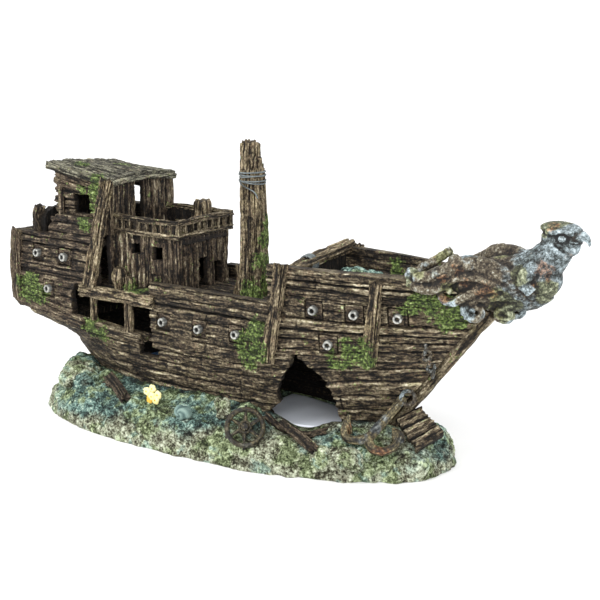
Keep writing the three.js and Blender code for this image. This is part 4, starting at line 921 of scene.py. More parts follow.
def panel(side, x_ends, z_ends, grain_line, seed, strakes=(), guns=(), keep=None, cell=(0.9, 0.37), width=4.6,
          deep=0.9, grain=0.5, thickness=WALL, inner=0.75):
    """One carved panel of the ship's side. Strakes are (low, high, proud) bands measured from the planks' line."""
    xs = [f(SPAN_HEIGHTS) for f in x_ends]
    span_x = float(np.max(xs[1]) - np.min(xs[0]))
    zs = [f(SPAN_PLACES) for f in z_ends]
    span_z = float(np.max(zs[1] - zs[0]))
    place = hull_place(side, x_ends, z_ends, grain_line)
    gun_room = ports(guns) if guns else None

    def relief(a, b, points):
        height, tone = wood(a, b, seed, width, deep=deep, grain=grain)
        if gun_room is not None:
            rim = band(gun_room(points[..., 0], points[..., 2]), 0.0, 1.0, 0.25)
            height, tone = height + 0.35 * rim, np.clip(tone + 0.22 * rim, 0, 1)
        for low, high, proud in strakes:
            raised = band(b, low, high, 0.35)
            height = height + proud * raised
            # Each strake is lighter along its upper edge and darker in a line below it: painted highlight and painted
            # shadow.
            lip = np.exp(-(((b - high + 0.6) / 0.5) ** 2)) * (0.6 + 0.6 * noise2(a / 9, b / 40, seed + 60))
            under = np.exp(-(((b - low + 0.5) / 0.4) ** 2))
            tone = np.clip(tone + 0.4 * lip * raised - 0.8 * under, 0, 1)
            height = height - 0.6 * under
        return height, tone

    def outline(a, b, points):
        x, z = points[..., 0], points[..., 2]
        value = np.full(x.shape, 50.0)
        if gun_room is not None:
            value = np.minimum(value, gun_room(x, z))
        if keep is not None:
            value = np.minimum(value, keep(x, z))
        return value

    cells = (int(span_x / cell[0]) + 2, int(span_z / cell[1]) + 2)
    return slab(place, cells, relief, outline if (guns or keep is not None) else None, thickness, -side, inner)


def ragged_end(x, z, where, seed, reach=3.0, width=4.6):
    """Distance from a broken end of planks: each plank stops at its own length, with splinters."""
    row = np.floor(z / width + 0.35 * noise2(x / 9, z / 9, seed)).astype(np.int64)
    zero = np.zeros_like(row)
    length = reach * lattice(row, zero, zero, seed + 1)
    splinter = 0.35 * reach * noise2(x * 0, z / 0.8, seed + 2)
    return where - x - length - splinter


def wall(origin, along, up, size, seed, outward, keep=None, vertical=True, thickness=2.6, cell=(0.37, 0.9), width=3.6,
         deep=0.8, grain=0.5, strakes=(), inner=0.3):
    """A flat plank wall from a corner, along one direction and up another. Planks stand upright or lie along it."""
    origin, along, up, outward = (np.asarray(v, float) for v in (origin, along, up, outward))

    def place(s, t):
        p = origin + along * (s * size[0])[..., None] + up * (t * size[1])[..., None]
        u, v = s * size[0], t * size[1]
        return (p, v, u) if vertical else (p, u, v)

    def relief(a, b, points):
        height, tone = wood(a, b, seed, width, wave=0.4, deep=deep, grain=grain, run=50)
        for low, high, proud in strakes:
            height = height + proud * band(b, low, high, 0.3)
        return height, tone

    def outline(a, b, points):
        u, v = (b, a) if vertical else (a, b)
        return keep(u, v)

    step = cell if vertical else cell[::-1]
    cells = (int(size[0] / step[0]) + 2, int(size[1] / step[1]) + 2)
    turn = 1 if np.dot(np.cross(along, up), outward) > 0 else -1
    return slab(place, cells, relief, outline if keep else None, thickness, turn, inner)


def hole(u, v, low, high, ragged=0.25, seed=5):
    """Distance outside a rectangular hole with chipped edges."""
    inside = np.maximum(np.maximum(low[0] - u, u - high[0]), np.maximum(low[1] - v, v - high[1]))
    return inside + ragged * noise2(u / 1.1, v / 1.1, seed)


def reef_relief(scale=1.0, seed=0):
    """Crumbly reef: wide lobes, ridged stone between them, and crumbs and grit of uneven size. All of it is sampled at
    points pushed about by noise, so that no cell keeps a regular shape."""

    def relief(points):
        push = np.stack([fractal(points, 6 * scale, 500 + seed + 10 * k, 2) for k in range(3)], -1)
        warped = points + 2.4 * scale * push
        lobes, lobe_pick = bubbles(warped, 10.5 * scale, 300 + seed)
        crumbs, pick = bubbles(warped, 2.9 * scale, 320 + seed)
        grit, grit_pick = bubbles(warped, 1.2 * scale, 340 + seed)
        ridge = 1 - 2 * np.abs(fractal(points, 4.2 * scale, 360 + seed, 3))
        place = fractal(points, 13 * scale, 380 + seed, 3)
        lobe = np.clip(lobes * 1.5, 0, 1) ** 0.6 * (0.3 + lobe_pick)
        crumb = np.clip(crumbs * 1.9, 0, 1) ** 0.7 * np.clip(1.5 * pick - 0.25, 0, 1)
        speck = np.clip(grit * 1.9, 0, 1) ** 0.8 * np.clip(1.6 * grit_pick - 0.4, 0, 1)
        rough = smoothstep(place, -0.3, 0.25)
        height = 2.1 * lobe + (0.25 + 0.55 * rough) * crumb + 0.5 * speck + 0.9 * ridge + 1.9 * place
        height = scale * height - 2.2 * scale
        tone = 0.12 + 0.14 * lobe + (0.1 + 0.2 * rough) * crumb + 0.3 * speck + 0.16 * ridge + 0.06 * place
        return height, np.clip(tone, 0, 1)

    return relief


def seabed_outline(angle):
    """The seabed's edge: superellipses, fuller aft than forward, with uneven bays."""
    c, s = np.cos(angle), np.sin(angle)
    power = np.where(c > 0, 2.2, 2.5)
    rounding = (np.abs(c) ** power + np.abs(s) ** power) ** (-1 / power)
    half = np.where(c > 0, SEABED_HALF_FORE, SEABED_HALF_AFT)
    bays = 0.012 * (1 + noise2(9 * c, 9 * s, 393)) + 0.015 * (1 + noise2(20 * c, 20 * s, 394))
    bays = 1 - bays * lerp(0.25, 1.3, smoothstep(c, -0.4, 0.3)) * (1 - 0.8 * smoothstep(c, 0.8, 1))
    return np.stack([SEABED_X + c * rounding * half * bays, s * rounding * SEABED_HALF_WIDTH * bays], -1)


def seabed_skin(props):
    """A ring of rock. Its section is a closed loop: up the rim, over the mound, down the well, and back below."""
    columns, top_rows = props.columns, props.rows
    angle = np.linspace(0, 2 * math.pi, columns, endpoint=False)
    outer = seabed_outline(angle)
    x_in = lerp(post_x(FLOOR_Z) + 8, stem_x(FLOOR_Z) - 8, 0.5 + 0.5 * np.cos(angle))
    reach = np.maximum(half_beam(x_in, 22.0) - 1.6, 1.0)
    below = np.maximum(half_beam(x_in, FLOOR_Z) - 7.5, 0.8)
    sine = np.sin(angle)

    def beside_keel(out):
        return np.stack([x_in, np.sign(sine) * out * np.clip(np.abs(sine) * 5, 0, 1)], -1)

    inner, well = beside_keel(reach), beside_keel(below)
    profile = np.array([(1.0, 0.0), (0.998, 0.1), (0.985, 0.3), (0.94, 0.56), (0.87, 0.71), (0.75, 0.85), (0.6, 0.96),
                        (0.42, 1.02), (0, 1.0)])
    reach_mm, height_mm = 34, 22
    arc = np.hypot(np.diff(profile[:, 0]) * reach_mm, np.diff(profile[:, 1]) * height_mm)
    arc = np.concatenate([[0], np.cumsum(arc)])
    where = np.linspace(0, arc[-1], top_rows)
    share = np.interp(where, arc, profile[:, 0])
    rise = np.interp(where, arc, profile[:, 1]) * SEABED_RISE
    centre = np.array([SEABED_X, 0])
    radial = np.linalg.norm(outer - centre, axis=1)
    inner_share = np.linalg.norm(inner - centre, axis=1) / radial
    spread = share[:, None] * np.ones_like(angle)[None]
    flat = inner[None] * (1 - spread[..., None]) + outer[None] * spread[..., None]
    radius_share = lerp(inner_share[None], 1.0, spread)
    z = np.interp(radius_share.ravel(), profile[::-1, 0], profile[::-1, 1]).reshape(radius_share.shape) * SEABED_RISE
    z = np.where(np.arange(top_rows)[:, None] == 0, 0.0, np.minimum(z, rise[:, None] + 30))
    top = np.concatenate([flat, z[..., None]], -1)
    height, tone = reef_relief()(top)
    calm = smoothstep(z, 0.0, 5.0)
    sill = np.exp(-(((top[..., 0] - 27) / 13) ** 2)) * (1 - smoothstep(-top[..., 1], 31, 41)) * (top[..., 1] < 0)
    top[..., 2] = lerp(top[..., 2], np.minimum(top[..., 2], 13.6), sill)
    height = height * (0.35 + 0.65 * calm) * (1 - 0.7 * sill)
    along = np.gradient(top, axis=0)
    across = np.roll(top, -1, axis=1) - np.roll(top, 1, axis=1)
    normal = np.cross(across, along)
    normal /= np.maximum(np.linalg.norm(normal, axis=-1, keepdims=True), 1e-9)
    normal = np.where(normal[..., 2:] < 0, -normal, normal)
    lift = normal * height[..., None]
    lift[0, :, 2] = 0
    near_hull = smoothstep(spread, 0.0, 0.12)[..., None]
    top = top + lift * (0.4 + 0.6 * near_hull)
    top[..., 2] = np.maximum(top[..., 2], 0.0)
    top[0, :, 2] = 0
    # The tone darkens towards the hull: painted shade where the ship stands on the seabed.
    painted_shading = tone * (0.2 + 0.8 * smoothstep(spread, 0.0, 0.24))
    steps = 8
    down = np.linspace(0, 1, steps + 1)[1:]
    start = top[-1]
    foot = np.concatenate([well, np.zeros((columns, 1))], -1)
    inner_wall = start[None] * (1 - down[:, None, None]) + foot[None] * down[:, None, None]
    full = np.concatenate([top, inner_wall])
    # The well's inner wall is painted dark at a tone of 0.25: painted shade inside the hull.
    tones = np.concatenate([painted_shading, np.full((steps, columns), 0.25)])
    rows = len(full)
    quads = grid_faces(rows, columns, wrap=True)
    last = (rows - 1) * columns + np.arange(columns)
    first = np.arange(columns)
    close = np.stack([last, np.roll(last, -1), np.roll(first, -1), first], -1)
    tint = np.clip(0.75 - full[..., 2] / 26 + 0.5 * fractal(full, 30, 380, 2), 0, 1)
    # Two dark patches, one behind the wheel and one further aft: painted shadow.
    tones = tones * (1 - 0.6 * spots(full, [((10, -40, 16), 10), ((-50, -36, 20), 6)]))
    return face_out(Skin(full.reshape(-1, 3), [quads, close], tones.ravel(), tint=tint.ravel()))


def build_seabed(props):
    make_piece("reef_base", ["seabed"], [seabed_skin(props)], "reef", 75)

    def place(s, t):
        x = lerp(at(0.55), stem_x(FLOOR_Z) - 9, s)
        y = (2 * t - 1) * np.maximum(half_beam(x, FLOOR_Z) - WALL + 0.5, 0.5)
        return np.stack([x, y, np.full_like(x, FLOOR_Z - 1.2)], -1), x, y

    calm = lambda a, b, points: (0.35 * noise2(a / 9, b / 9, 395), 0.6 + 0.3 * noise2(a / 14, b / 10, 396))
    make_piece("hold_floor", [], [slab(place, (60, 40), calm, None, 4.0, 1)], "floor", 0)


def build_reef_items(props):
    make_piece("stern_boulder", ["stern_rock"], [
        lump((-106, -23, 15), (11, 11.5, 8), reef_relief(0.9, 3), 150, 70, tint=0.9),
        lump((-116, -10, 15), (10, 12, 8.5), reef_relief(0.9, 5), 130, 60, tint=0.0),
        lump((-96, -30, 14), (8, 7, 7), reef_relief(0.8, 6), 110, 50, tint=0.1),
    ], "reef", 75)
    make_piece("coral_by_wheel", ["wheel_coral"], [
        lump((-4.6, -37.3, 20), (3.6, 3.4, 5.2), reef_relief(0.55, 7), 100, 60, tint=0.7),
        lump((-6.2, -38, 23.4), (2.2, 2.2, 2.4), reef_relief(0.45, 8), 70, 36, tint=0.8),
    ], "reef", 75)
    make_piece("coral_at_bow", ["bow_coral"], [
        lump((57, -33, 9.5), (8.5, 6.8, 5.6), reef_relief(0.75, 9), 130, 60, tint=0.9),
        lump((48, -37, 9), (6, 5, 5.5), reef_relief(0.7, 10), 100, 50, tint=1.0),
    ], "reef", 75)
    petals = []
    lobes = ((-3.9, 0.2, 1.0), (-1.0, 0.9, 2.6), (-0.2, -0.5, -0.6), (3.2, -0.2, 0.6), (2.2, -0.8, -1.9),
             (-1.6, -0.4, -2.3))
    for k, lobe in enumerate(lobes):
        centre = np.array([-43.6, -39.4, 20.6]) + np.array(lobe)
        for j in range(5):
            swing = j / 5 * 2 * math.pi + k
            spot = centre + 0.95 * np.array([math.cos(swing), -0.25, math.sin(swing)])
            glow = 0.2 if k == len(lobes) - 1 else 0.75
            petal = lambda q, glow=glow: (0.1 * fractal(q, 1.2, 9), glow + 0.2 * fractal(q, 1, 3))
            petals.append(lump(spot, (1.15, 0.8, 1.15), petal, 18, 10))
        middle = lambda q: (0 * q[:, 0], 0.1 + 0 * q[:, 0])
        petals.append(lump(centre + np.array([0, -0.5, 0]), (0.7, 0.6, 0.7), middle, 14, 8))
    make_piece("yellow_anemone", ["anemone"], petals, "petal", 0)

    def whorls(q):
        local = q - np.array([-22, -44.6, 17.6])
        turn = np.arctan2(local[:, 2], local[:, 0])
        ridge = np.sin(3 * turn + 2.1 * np.hypot(local[:, 0], local[:, 2]))
        return 0.35 * ridge + 0.15 * fractal(q, 1.5, 12), 0.5 + 0.25 * ridge

    make_piece("whelk", ["whelk_shell"], [lump((-22, -44.0, 17.4), (4.3, 3.1, 3.4), whorls, 90, 50)], "shell",
               0)
    make_piece("stern_driftwood", ["stern_timber"], [
        sweep([(-79, -31.5, 21.5), (-69, -37, 20), (-58, -43, 17)], 5.2, 3.2, (0.2, -0.7, 0.7), seed=21, ragged=(3, 4)),
        sweep([(-84, -30, 17), (-74, -36, 19)], 2.2, 1.8, (0, -1, 0.4), seed=22, ragged=(2, 2)),
    ], "dark")
    make_piece("breach_driftwood", ["breach_timber"], [
        sweep([(24, -31.5, 18.0), (36, -35.5, 15.5), (47, -39.5, 12.5)], 4.8, 3.0, (0.2, -0.6, 0.8), seed=23,
              ragged=(3, 4)),
        sweep([(13, -28.2, 18.2), (22, -29.4, 14.6), (34, -28.6, 13.8), (43, -26.2, 16.6)], 3.4, 3.0, (0.1, -0.8, 0.6),
              seed=24, ragged=(2, 3)),
    ], "dark")
    corners = {"a": (81.9, -15.8, 13.2), "b": (89.2, -4.6, 19.2), "c": (68.6, -12.0, 23.4), "d": (76.4, -2.5, 28.2)}
    corner = {key: np.array(value) for key, value in corners.items()}

    def place(s, t):
        low = corner["a"] + (corner["b"] - corner["a"]) * s[..., None]
        high = corner["c"] + (corner["d"] - corner["c"]) * s[..., None]
        return low + (high - low) * t[..., None], s * 14.6, t * 17.6

    def keep(a, b, points):
        return np.minimum(ragged_end(a, b, 14.6, 61, 1.2, 4.5), ragged_end(-a, b, 0.4, 62, 1.8, 4.5))

    boards = slab(place, (60, 70), lambda a, b, points: wood(a, b, 63, 5.8, deep=0.6, grain=0.4, run=120), keep, 3.4, 1)
    make_piece("bow_planking", ["bow_boards"], [boards], "wood")


def build_lower_hull(props):
    # The planks follow the sheer: the line they run along rises with the wale.
    line = lambda x, z: (wale_z(x) - WALE_Z) * np.clip((z - FLOOR_Z) / 26, 0, 1.1)
    foot = fixed(13.0)
    top = lambda x: wale_z(x) + 0.8
    aft = lambda z: post_x(z) + 4
    fore = lambda z: stem_x(z) - 4
    notch = lambda x, z: -np.minimum(np.minimum(x + 62.5, -50.5 - x), z - 34) + 0.6 * noise2(x / 1.5, z / 1.5, 33)

    def keep_aft(x, z):
        return np.minimum(np.minimum(breach(x, z), BREACH_TOP_X + 6 - x), notch(x, z))

    def keep_fore(x, z):
        return np.minimum(breach(x, z), x - BREACH_TOP_X)

    for name, node, side, ends, seed, keep in (
        ("hull_aft_starboard", "hull_starboard_aft", STARBOARD, (aft, fixed(32.0)), 101, keep_aft),
        ("hull_fore_starboard", "hull_starboard_fore", STARBOARD, (fixed(22.0), fore), 102, keep_fore),
        ("hull_whole_port", "hull_port", PORT, (aft, fore), 103, None),
    ):
        # The hull's inside is painted nearly black (inner 0.12): painted shade for its dark hollow.
        skin = panel(side, ends, (foot, top), line, seed, keep=keep, deep=1.0, grain=props.furrow, width=HULL_PLANK,
                     inner=0.12)
        make_piece(name, [node], [skin], "wood")
    stem = [(stem_x(h) - 2.6, 0, h) for h in np.linspace(13, 73, 8)]
    post = [(post_x(h) + 2.6, 0, h) for h in np.linspace(13, 46, 6)]
    stem = sweep(stem, 5.4, 6.0, (1, 0, -0.8), seed=31, ragged=(1, 2), grain=0.55)
    post = sweep(post, 5.2, 6.0, (-1, 0, -1), seed=32, ragged=(1, 1), grain=0.55)
    make_piece("stem", ["stem_post"], [stem], "wood")
    make_piece("sternpost", ["stern_post"], [post], "wood")


def build_upper_sides(props):
    g = props.furrow
    for word, side in SIDES:
        # Waist: a rail strake above the gun band, and a wale below it.
        low = lambda x: wale_z(x) - 0.6
        broken = lambda x, z: ragged_end(-x, z, -WAIST_AFT_X + 1.5, 41 + side, 2.5)
        strakes = [(WAIST_RAIL_Z - 9, WAIST_RAIL_Z + 1, 0.9), (WALE_Z - 1, WALE_Z + 4.2, 0.9)]
        # The waist side is painted darker (0.84): painted shade.
        make_piece(f"waist_{word}", [f"waist_side_{word}"], [
            panel(side, (fixed(WAIST_AFT_X - 1), fixed(at(0.64))), (low, fixed(WAIST_RAIL_Z)), flat_line,
                  110 + side, strakes, WAIST_GUNS, broken, grain=g),
        ], "wood", painted_shading=0.84)
        # Forecastle side: double rail, two gun bands with a strake between them.
        fore_end = lambda z: np.minimum(stem_x(z) - 4, FIGURE_X)
        rise = lambda x, z: (wale_z(x) - 44) * (1 - smoothstep(z, 44, 72)) + 0 * x
        strakes = [(81.5, 88, 1.0), (77.8, 80.6, 0.7), (60.0, 64.2, 0.9), (42, 47.2, 0.8)]
        # The bow side is painted lighter (1.1): painted light.
        make_piece(f"bow_{word}", [f"bow_side_{word}"], [
            panel(side, (fixed(at(0.636)), fore_end), (low, fixed(BOW_RAIL_Z + 0.5)), rise, 120 + side, strakes,
                  BOW_GUNS, lambda x, z: np.maximum(breach(x, z), 0.4 * (z - WALE_Z - 10)), grain=g),
        ], "wood", painted_shading=1.1)
        castle(word, side, g)
    ribs()


def castle(word, side, g):
    """One side of the castle: its wall, the tier above it, the corner board, the wale and the rail."""
    low = lambda x: wale_z(x) - 0.6
    edge = CASTLE_FRONT_X - 4.5
    rise = lambda x, z: (wale_z(x) - 44) * (1 - smoothstep(z, 44, 66))
    strakes = [(80, 86, 0.8), (66.5, 70.5, 0.7), (43, 47.5, 1.0)]

    def keep(x, z):
        if side == PORT:
            return 50 + 0 * x
        p, q = x - CASTLE_BREAK_X, 63.2 - z
        open_quarter = np.where((p < 6) & (q < 6), 6 - np.hypot(6 - p, 6 - q), np.minimum(p, q))
        return 1.2 * noise2(x / 2.5, z / 2.0, 52) * 0.6 - open_quarter

    tier_top = lambda x: lerp(88, CASTLE_TIER_Z, smoothstep(x, at(0.1), at(0.135)))
    tier_end = lambda x, z: ragged_end(-x, z, -at(0.1), 44, 2.0)
    skins = [
        panel(side, (fixed(AFT_X + 0.4), fixed(edge)), (low, fixed(CASTLE_Z)), rise, 130 + side, strakes, CASTLE_GUNS,
              keep, grain=g),
        panel(side, (fixed(at(0.1)), fixed(edge)), (fixed(CASTLE_Z - 1), tier_top), flat_line, 133 + side,
              [(84, 97, 0.8)], (), tier_end, grain=g),
    ]
    if side == PORT:
        ends = (fixed(CASTLE_FRONT_X - 6), fixed(WAIST_AFT_X - 0.3))
        skins.append(panel(side, ends, (low, fixed(DECK_Z + 3)), rise, 136, strakes, grain=g))
    # A board stands upright at the corner of the transom.
    bowed = lambda h: AFT_X + 2.4 - 1.5 * math.sin((h - 50) / 34 * math.pi)
    corner = [(bowed(h), side * (half_beam(np.array(AFT_X + 2), h) + 0.3), h) for h in np.linspace(50, 84.5, 6)]
    skins.append(sweep(corner, 8.4, 3.8, (-0.25, side, 0), around=48, seed=45 + side, ragged=(1.5, 1.5), grain=0.6,
                       power=2.8))
    beam = [on_side(side, x, float(wale_z(x)) + 2.0, 0.3) for x in np.linspace(AFT_X + 2, CASTLE_BREAK_X + 9, 7)]
    skins.append(sweep(beam, 6.2, 3.6, (0, side, 0), around=48, seed=51 + side, ragged=(1, 3), grain=0.6, power=2.6))
    tier = [on_side(side, x, CASTLE_TIER_Z - 3.2 + 0.04 * (x - CASTLE_FRONT_X), -1.2)
            for x in np.linspace(at(0.108), CASTLE_FRONT_X - 8, 6)]
    skins.append(sweep(tier, 5.6, 2.6, (0, side, 0), around=40, seed=48 + side, ragged=(3, 1.5), grain=0.6))
    # The castle's paint is darkened a little (0.94): painted shade.
    make_piece(f"castle_{word}", [f"castle_side_{word}"], skins, "brown", painted_shading=0.94)


def flat_line(x, z):
    """Planks that follow no sheer."""
    return 0 * x


def on_side(side, x, z, out=0.0):
    """A point on the ship's side, moved outwards by out."""
    return (x, side * (float(half_beam(np.array(float(x)), np.array(float(z)))) + out), z)


def ribs():
    """Bleached frame timbers on both sides, and the post at the castle's corner."""
    for word, side in SIDES:
        for name, node, x, lean, low, high in (
            ("frame_mid", "mid_rib", MID_RIB_X, 3.5, WALE_Z + 3.6, BOW_RAIL_Z + 1.4),
            ("frame_bow", "bow_rib", BOW_RIB_X, 3.0, WALE_Z + 7.6, BOW_RAIL_Z - 2),
        ):
            path = [on_side(side, x + lean * (2 * k - 1), lerp(low, high, k), 1.7) for k in np.linspace(0, 1, 7)]
            skins = [sweep(path, 6.4, 3.4, (0, side, 0), around=40, seed=150 + side + int(x), ragged=(1.5, 1.5),
                           grain=0.75, power=5)]
            make_piece(f"{name}_{word}", [f"{node}_{word}"], skins, "pale")
    foot = (CASTLE_FRONT_X - 8, -29.6, DECK_Z - 1)
    head = (CASTLE_FRONT_X + 2, -25.8, EAVE_Z + 3.2)
    make_piece("castle_corner_post", ["corner_post"], [
        sweep([foot, head], 7.0, 3.8, (0.1, -1, 0), around=44, seed=155, ragged=(1.5, 2.0), grain=0.8, power=5),
        sweep([(foot[0] + 1.5, foot[1] + 0.6, foot[2]), (foot[0] + 3.4, foot[1] + 0.4, foot[2] + 11)], 3.0, 2.6,
              (0.1, -1, 0), seed=156, ragged=(1, 2)),
    ], "pale")


# A plate fills each gun port, and a wider one closes the gap behind it: growth, depth, seed, thickness, cell, relief.
GUN_PLATES = ((0.0, 0.15, 200, 2.2, (0.35, 0.4), 0.4), (1.0, 1.9, 210, 0.9, (0.8, 0.8), 0.1))


def build_guns(props):
    for word, side in SIDES:
        for name, guns in (("castle", CASTLE_GUNS), ("waist", WAIST_GUNS), ("bow", BOW_GUNS)):
            plates, rings = [], []
            for k, (x, z) in enumerate(guns):
                here = np.array(on_side(side, x, z))
                ahead = np.array(on_side(side, x + 1, z)) - here
                above = np.array(on_side(side, x, z + 1)) - here
                out = side * -np.cross(ahead, above)
                out /= np.linalg.norm(out)
                ahead /= np.linalg.norm(ahead)
                above = np.cross(out, ahead) * np.sign(np.cross(out, ahead)[2])
                for grow, sunk, seed, thickness, cell, deep in GUN_PLATES:
                    half = PORT_SIZE / 2 - 0.35 + grow
                    corner = here - ahead * half - above * half - out * sunk
                    plates.append(wall(corner, ahead, above, (2 * half, 2 * half), seed + k, out, vertical=False,
                                       thickness=thickness, cell=cell, width=9, deep=deep, grain=deep))
                rings.append(muzzle(here, ahead, above, out, props))
            make_piece(f"gun_plates_{name}_{word}", [], plates, "brown")
            make_piece(f"guns_{name}_{word}", [f"{name}_guns_{word}"], rings, "muzzle", 35)


def muzzle(here, ahead, above, out, props):
    """A short barrel turned about its axis: a profile of reach and radius carried round a circle, with a dark bore."""
    r = 1.1 * props.muzzle
    profile = np.array([(-2.2, 0.0), (-2.2, 0.9 * r), (-0.4, 0.95 * r), (0.2, 0.98 * r), (1.2, 0.9 * r),
                        (2.1, 0.95 * r), (2.4, 0.86 * r), (2.45, 0.7 * r), (2.35, 0.5 * r), (2.0, 0.42 * r),
                        (-0.4, 0.38 * r), (-0.6, 0.0)])
    around = 30
    turn = np.linspace(0, 2 * math.pi, around, endpoint=False)
    ring = profile[1:-1]
    wobble = 1 + 0.05 * noise2(np.cos(turn) * 2 + here[0], np.sin(turn) * 2, 66)[None]
    circle = np.cos(turn)[:, None] * ahead + np.sin(turn)[:, None] * above
    points = (here + out * ring[:, None, :1]
              + (ring[:, None, 1:] * wobble[..., None]) * circle[None])
    tips = [here + out * profile[0, 0], here + out * profile[-1, 0]]
    rows = len(ring)
    worn = 0.75 + 0.5 * noise2(2.5 * np.cos(turn) + here[0], 2.5 * np.sin(turn) + here[2], 67)[None]
    # The tone is lightest at the lip and darkest in the bore and towards the plate, varied by wear: painted highlight
    # on the lip, painted shade in the bore and by the plate.
    painted_shading = np.array([0.1, 0.2, 0.35, 0.6, 0.8, 1.0, 1.0, 0.6, 0.02, 0.0])[:, None] * worn
    points = np.concatenate([points.reshape(-1, 3), tips])
    faces = [grid_faces(rows, around, wrap=True), *end_caps(rows, around)]
    return face_out(Skin(points, faces, np.concatenate([painted_shading.ravel(), [0.2, 0.0]])))


def deck_skin(x_ends, z, seed, inset=WALL + 0.3, keep=None, deep=0.9):
    """A plank deck between the ship's sides. The planks run fore and aft."""

    def place(s, t):
        x = lerp(x_ends[0], x_ends[1], s)
        y = (2 * t - 1) * np.maximum(half_beam(x, z) - inset, 0.5)
        return np.stack([x, y, np.full_like(x, z - 0.4)], -1), x, y

    cells = (int((x_ends[1] - x_ends[0]) / 1.0) + 2, int(50 / 0.5) + 2)
    return slab(place, cells, lambda a, b, points: wood(a, b, seed, 4.2, deep=deep, run=50), keep, 2.6, 1)


def build_decks(props):
    make_piece("deck_main", ["main_deck"], [deck_skin((at(0.1), MID_RIB_X - 2), DECK_Z, 210)], "dark")
    rubble = reef_relief(0.6, 15)
    stones = [lump((at(sh), y, FORE_DECK_Z + 0.3), (r * 1.5, r, r * 0.8), rubble, 80, 40)
              for sh, y, r in ((0.72, 6, 5), (0.79, -3, 4.5), (0.84, 4, 4), (0.76, 10, 3.6), (0.7, -8, 3.2))]
    make_piece("deck_fore", ["fore_deck"], [deck_skin((MID_RIB_X + 3.3, at(0.95)), FORE_DECK_Z, 211)], "dark")
    make_piece("fore_deck_rubble", [], stones, "reef", 75)
    ruined = lambda u, v: (12.4 - v - 4 * np.exp(-u / 2.5) + 0.9 * noise2(u / 3.0, v * 0, 214)
                           + 0.5 * noise2(u / 1.0, v / 2, 215))
    post = [(at(0.1) - 10.5, -21.6, CASTLE_Z - 1), (at(0.1) - 11.2, -21.8, CASTLE_Z + 7),
            (at(0.1) - 9.4, -21.6, CASTLE_Z + 12.2)]
    make_piece("deck_poop", ["poop_deck"], [
        deck_skin((AFT_X + 3, CASTLE_FRONT_X - 3.3), CASTLE_Z, 212),
        wall((at(0.1) - 9, -22, CASTLE_Z - 1), ACROSS, UP, (44, 13.4), 213, (-1, 0, 0), ruined, thickness=3.4),
        sweep(post, 4.4, 5.6, around=36, seed=219, ragged=(0, 1), grain=0.6, power=3),
    ], "dark")
    half = 20.5
    sloped = lambda u, v: 15.6 + 0.13 * u - v + 0.5 * noise2(u / 2.0, v / 6, 218)
    make_piece("bulkhead_fore", ["fore_bulkhead"], [
        wall((MID_RIB_X + 1, -half, DECK_Z), ACROSS, UP, (2 * half, 22), 216, (-1, 0, 0), sloped, thickness=2.4),
    ], "dark")
    wide = float(half_beam(np.array(AFT_X + 1.0), np.array(70.0))) - 1.5
    windows = lambda u, v: np.minimum(hole(u, v, (12, 25), (19, 33), 0.3, 7), hole(u, v, (30, 25), (37, 33), 0.3, 8))
    make_piece("stern_transom", ["transom"], [
        wall((AFT_X + 0.9, -wide, 45.5), ACROSS, UP, (2 * wide, 39), 217, (-1, 0, 0), windows, vertical=False,
             thickness=2.4, width=5, strakes=[(34, 40, 0.8), (20, 24, 0.8), (0, 4, 0.8)]),
    ], "wood")

    def counter_place(s, t):
        x = lerp(AFT_X + 1.5, CASTLE_BREAK_X, s)
        y = (2 * t - 1) * (half_beam(x, wale_z(x) + 1) - 2.4)
        return np.stack([x, y, wale_z(x) + 1.2], -1), x, y

    counter = slab(counter_place, (44, 100), lambda a, b, points: wood(a, b, 218, 4.5), None, 2.6, -1)
    make_piece("stern_counter", ["counter"], [counter], "dark")


def build_gallery(props):
    x0, x1 = CASTLE_BREAK_X, at(0.335)
    sill = [on_side(STARBOARD, x, float(wale_z(x)) + 1.4, -1.5) for x in np.linspace(x0 - 2, x1 + 2, 7)]
    make_piece("gallery_sill_beam", ["gallery_sill"], [
        sweep(sill, 5.0, 5.0, around=36, seed=231, ragged=(2, 3), grain=0.7),
        sweep([(p[0] + 1, p[1] + 3.5, p[2] + 0.5) for p in sill[1:]], 4.4, 3.4, (0, 0, 1), seed=232, ragged=(2, 3)),
    ], "wood")
    ledge = [on_side(STARBOARD, x, 60.5, 0.2) for x in np.linspace(x0 + 7, WAIST_AFT_X + 2, 8)]
    inner = [(p[0], p[1] + 4.2, p[2] + 1.2) for p in ledge]
    make_piece("quarter_ledge", ["deck_ledge"], [
        sweep(ledge, 4.4, 6.2, (0, 0, 1), around=48, seed=233, ragged=(2, 2), grain=0.8, power=3),
        sweep(inner, 3.0, 6.0, around=36, seed=234, ragged=(2, 3)),
    ], "pale")
    for word, x, width in (("aft", x0 + 13, 3.2), ("fore", x1 - 7, 4.6)):
        y = -float(half_beam(np.array(x), np.array(50.0))) + 2.4
        post = [(x - 0.4, y, float(wale_z(x)) + 2), (x + 0.2, y - 0.3, 51), (x, y, 59)]
        make_piece(f"gallery_stanchion_{word}", [f"gallery_post_{word}"], [
            sweep(post, width, 3.4, around=32, seed=236 + int(x), ragged=(1, 1), grain=0.6),
        ], "pale")


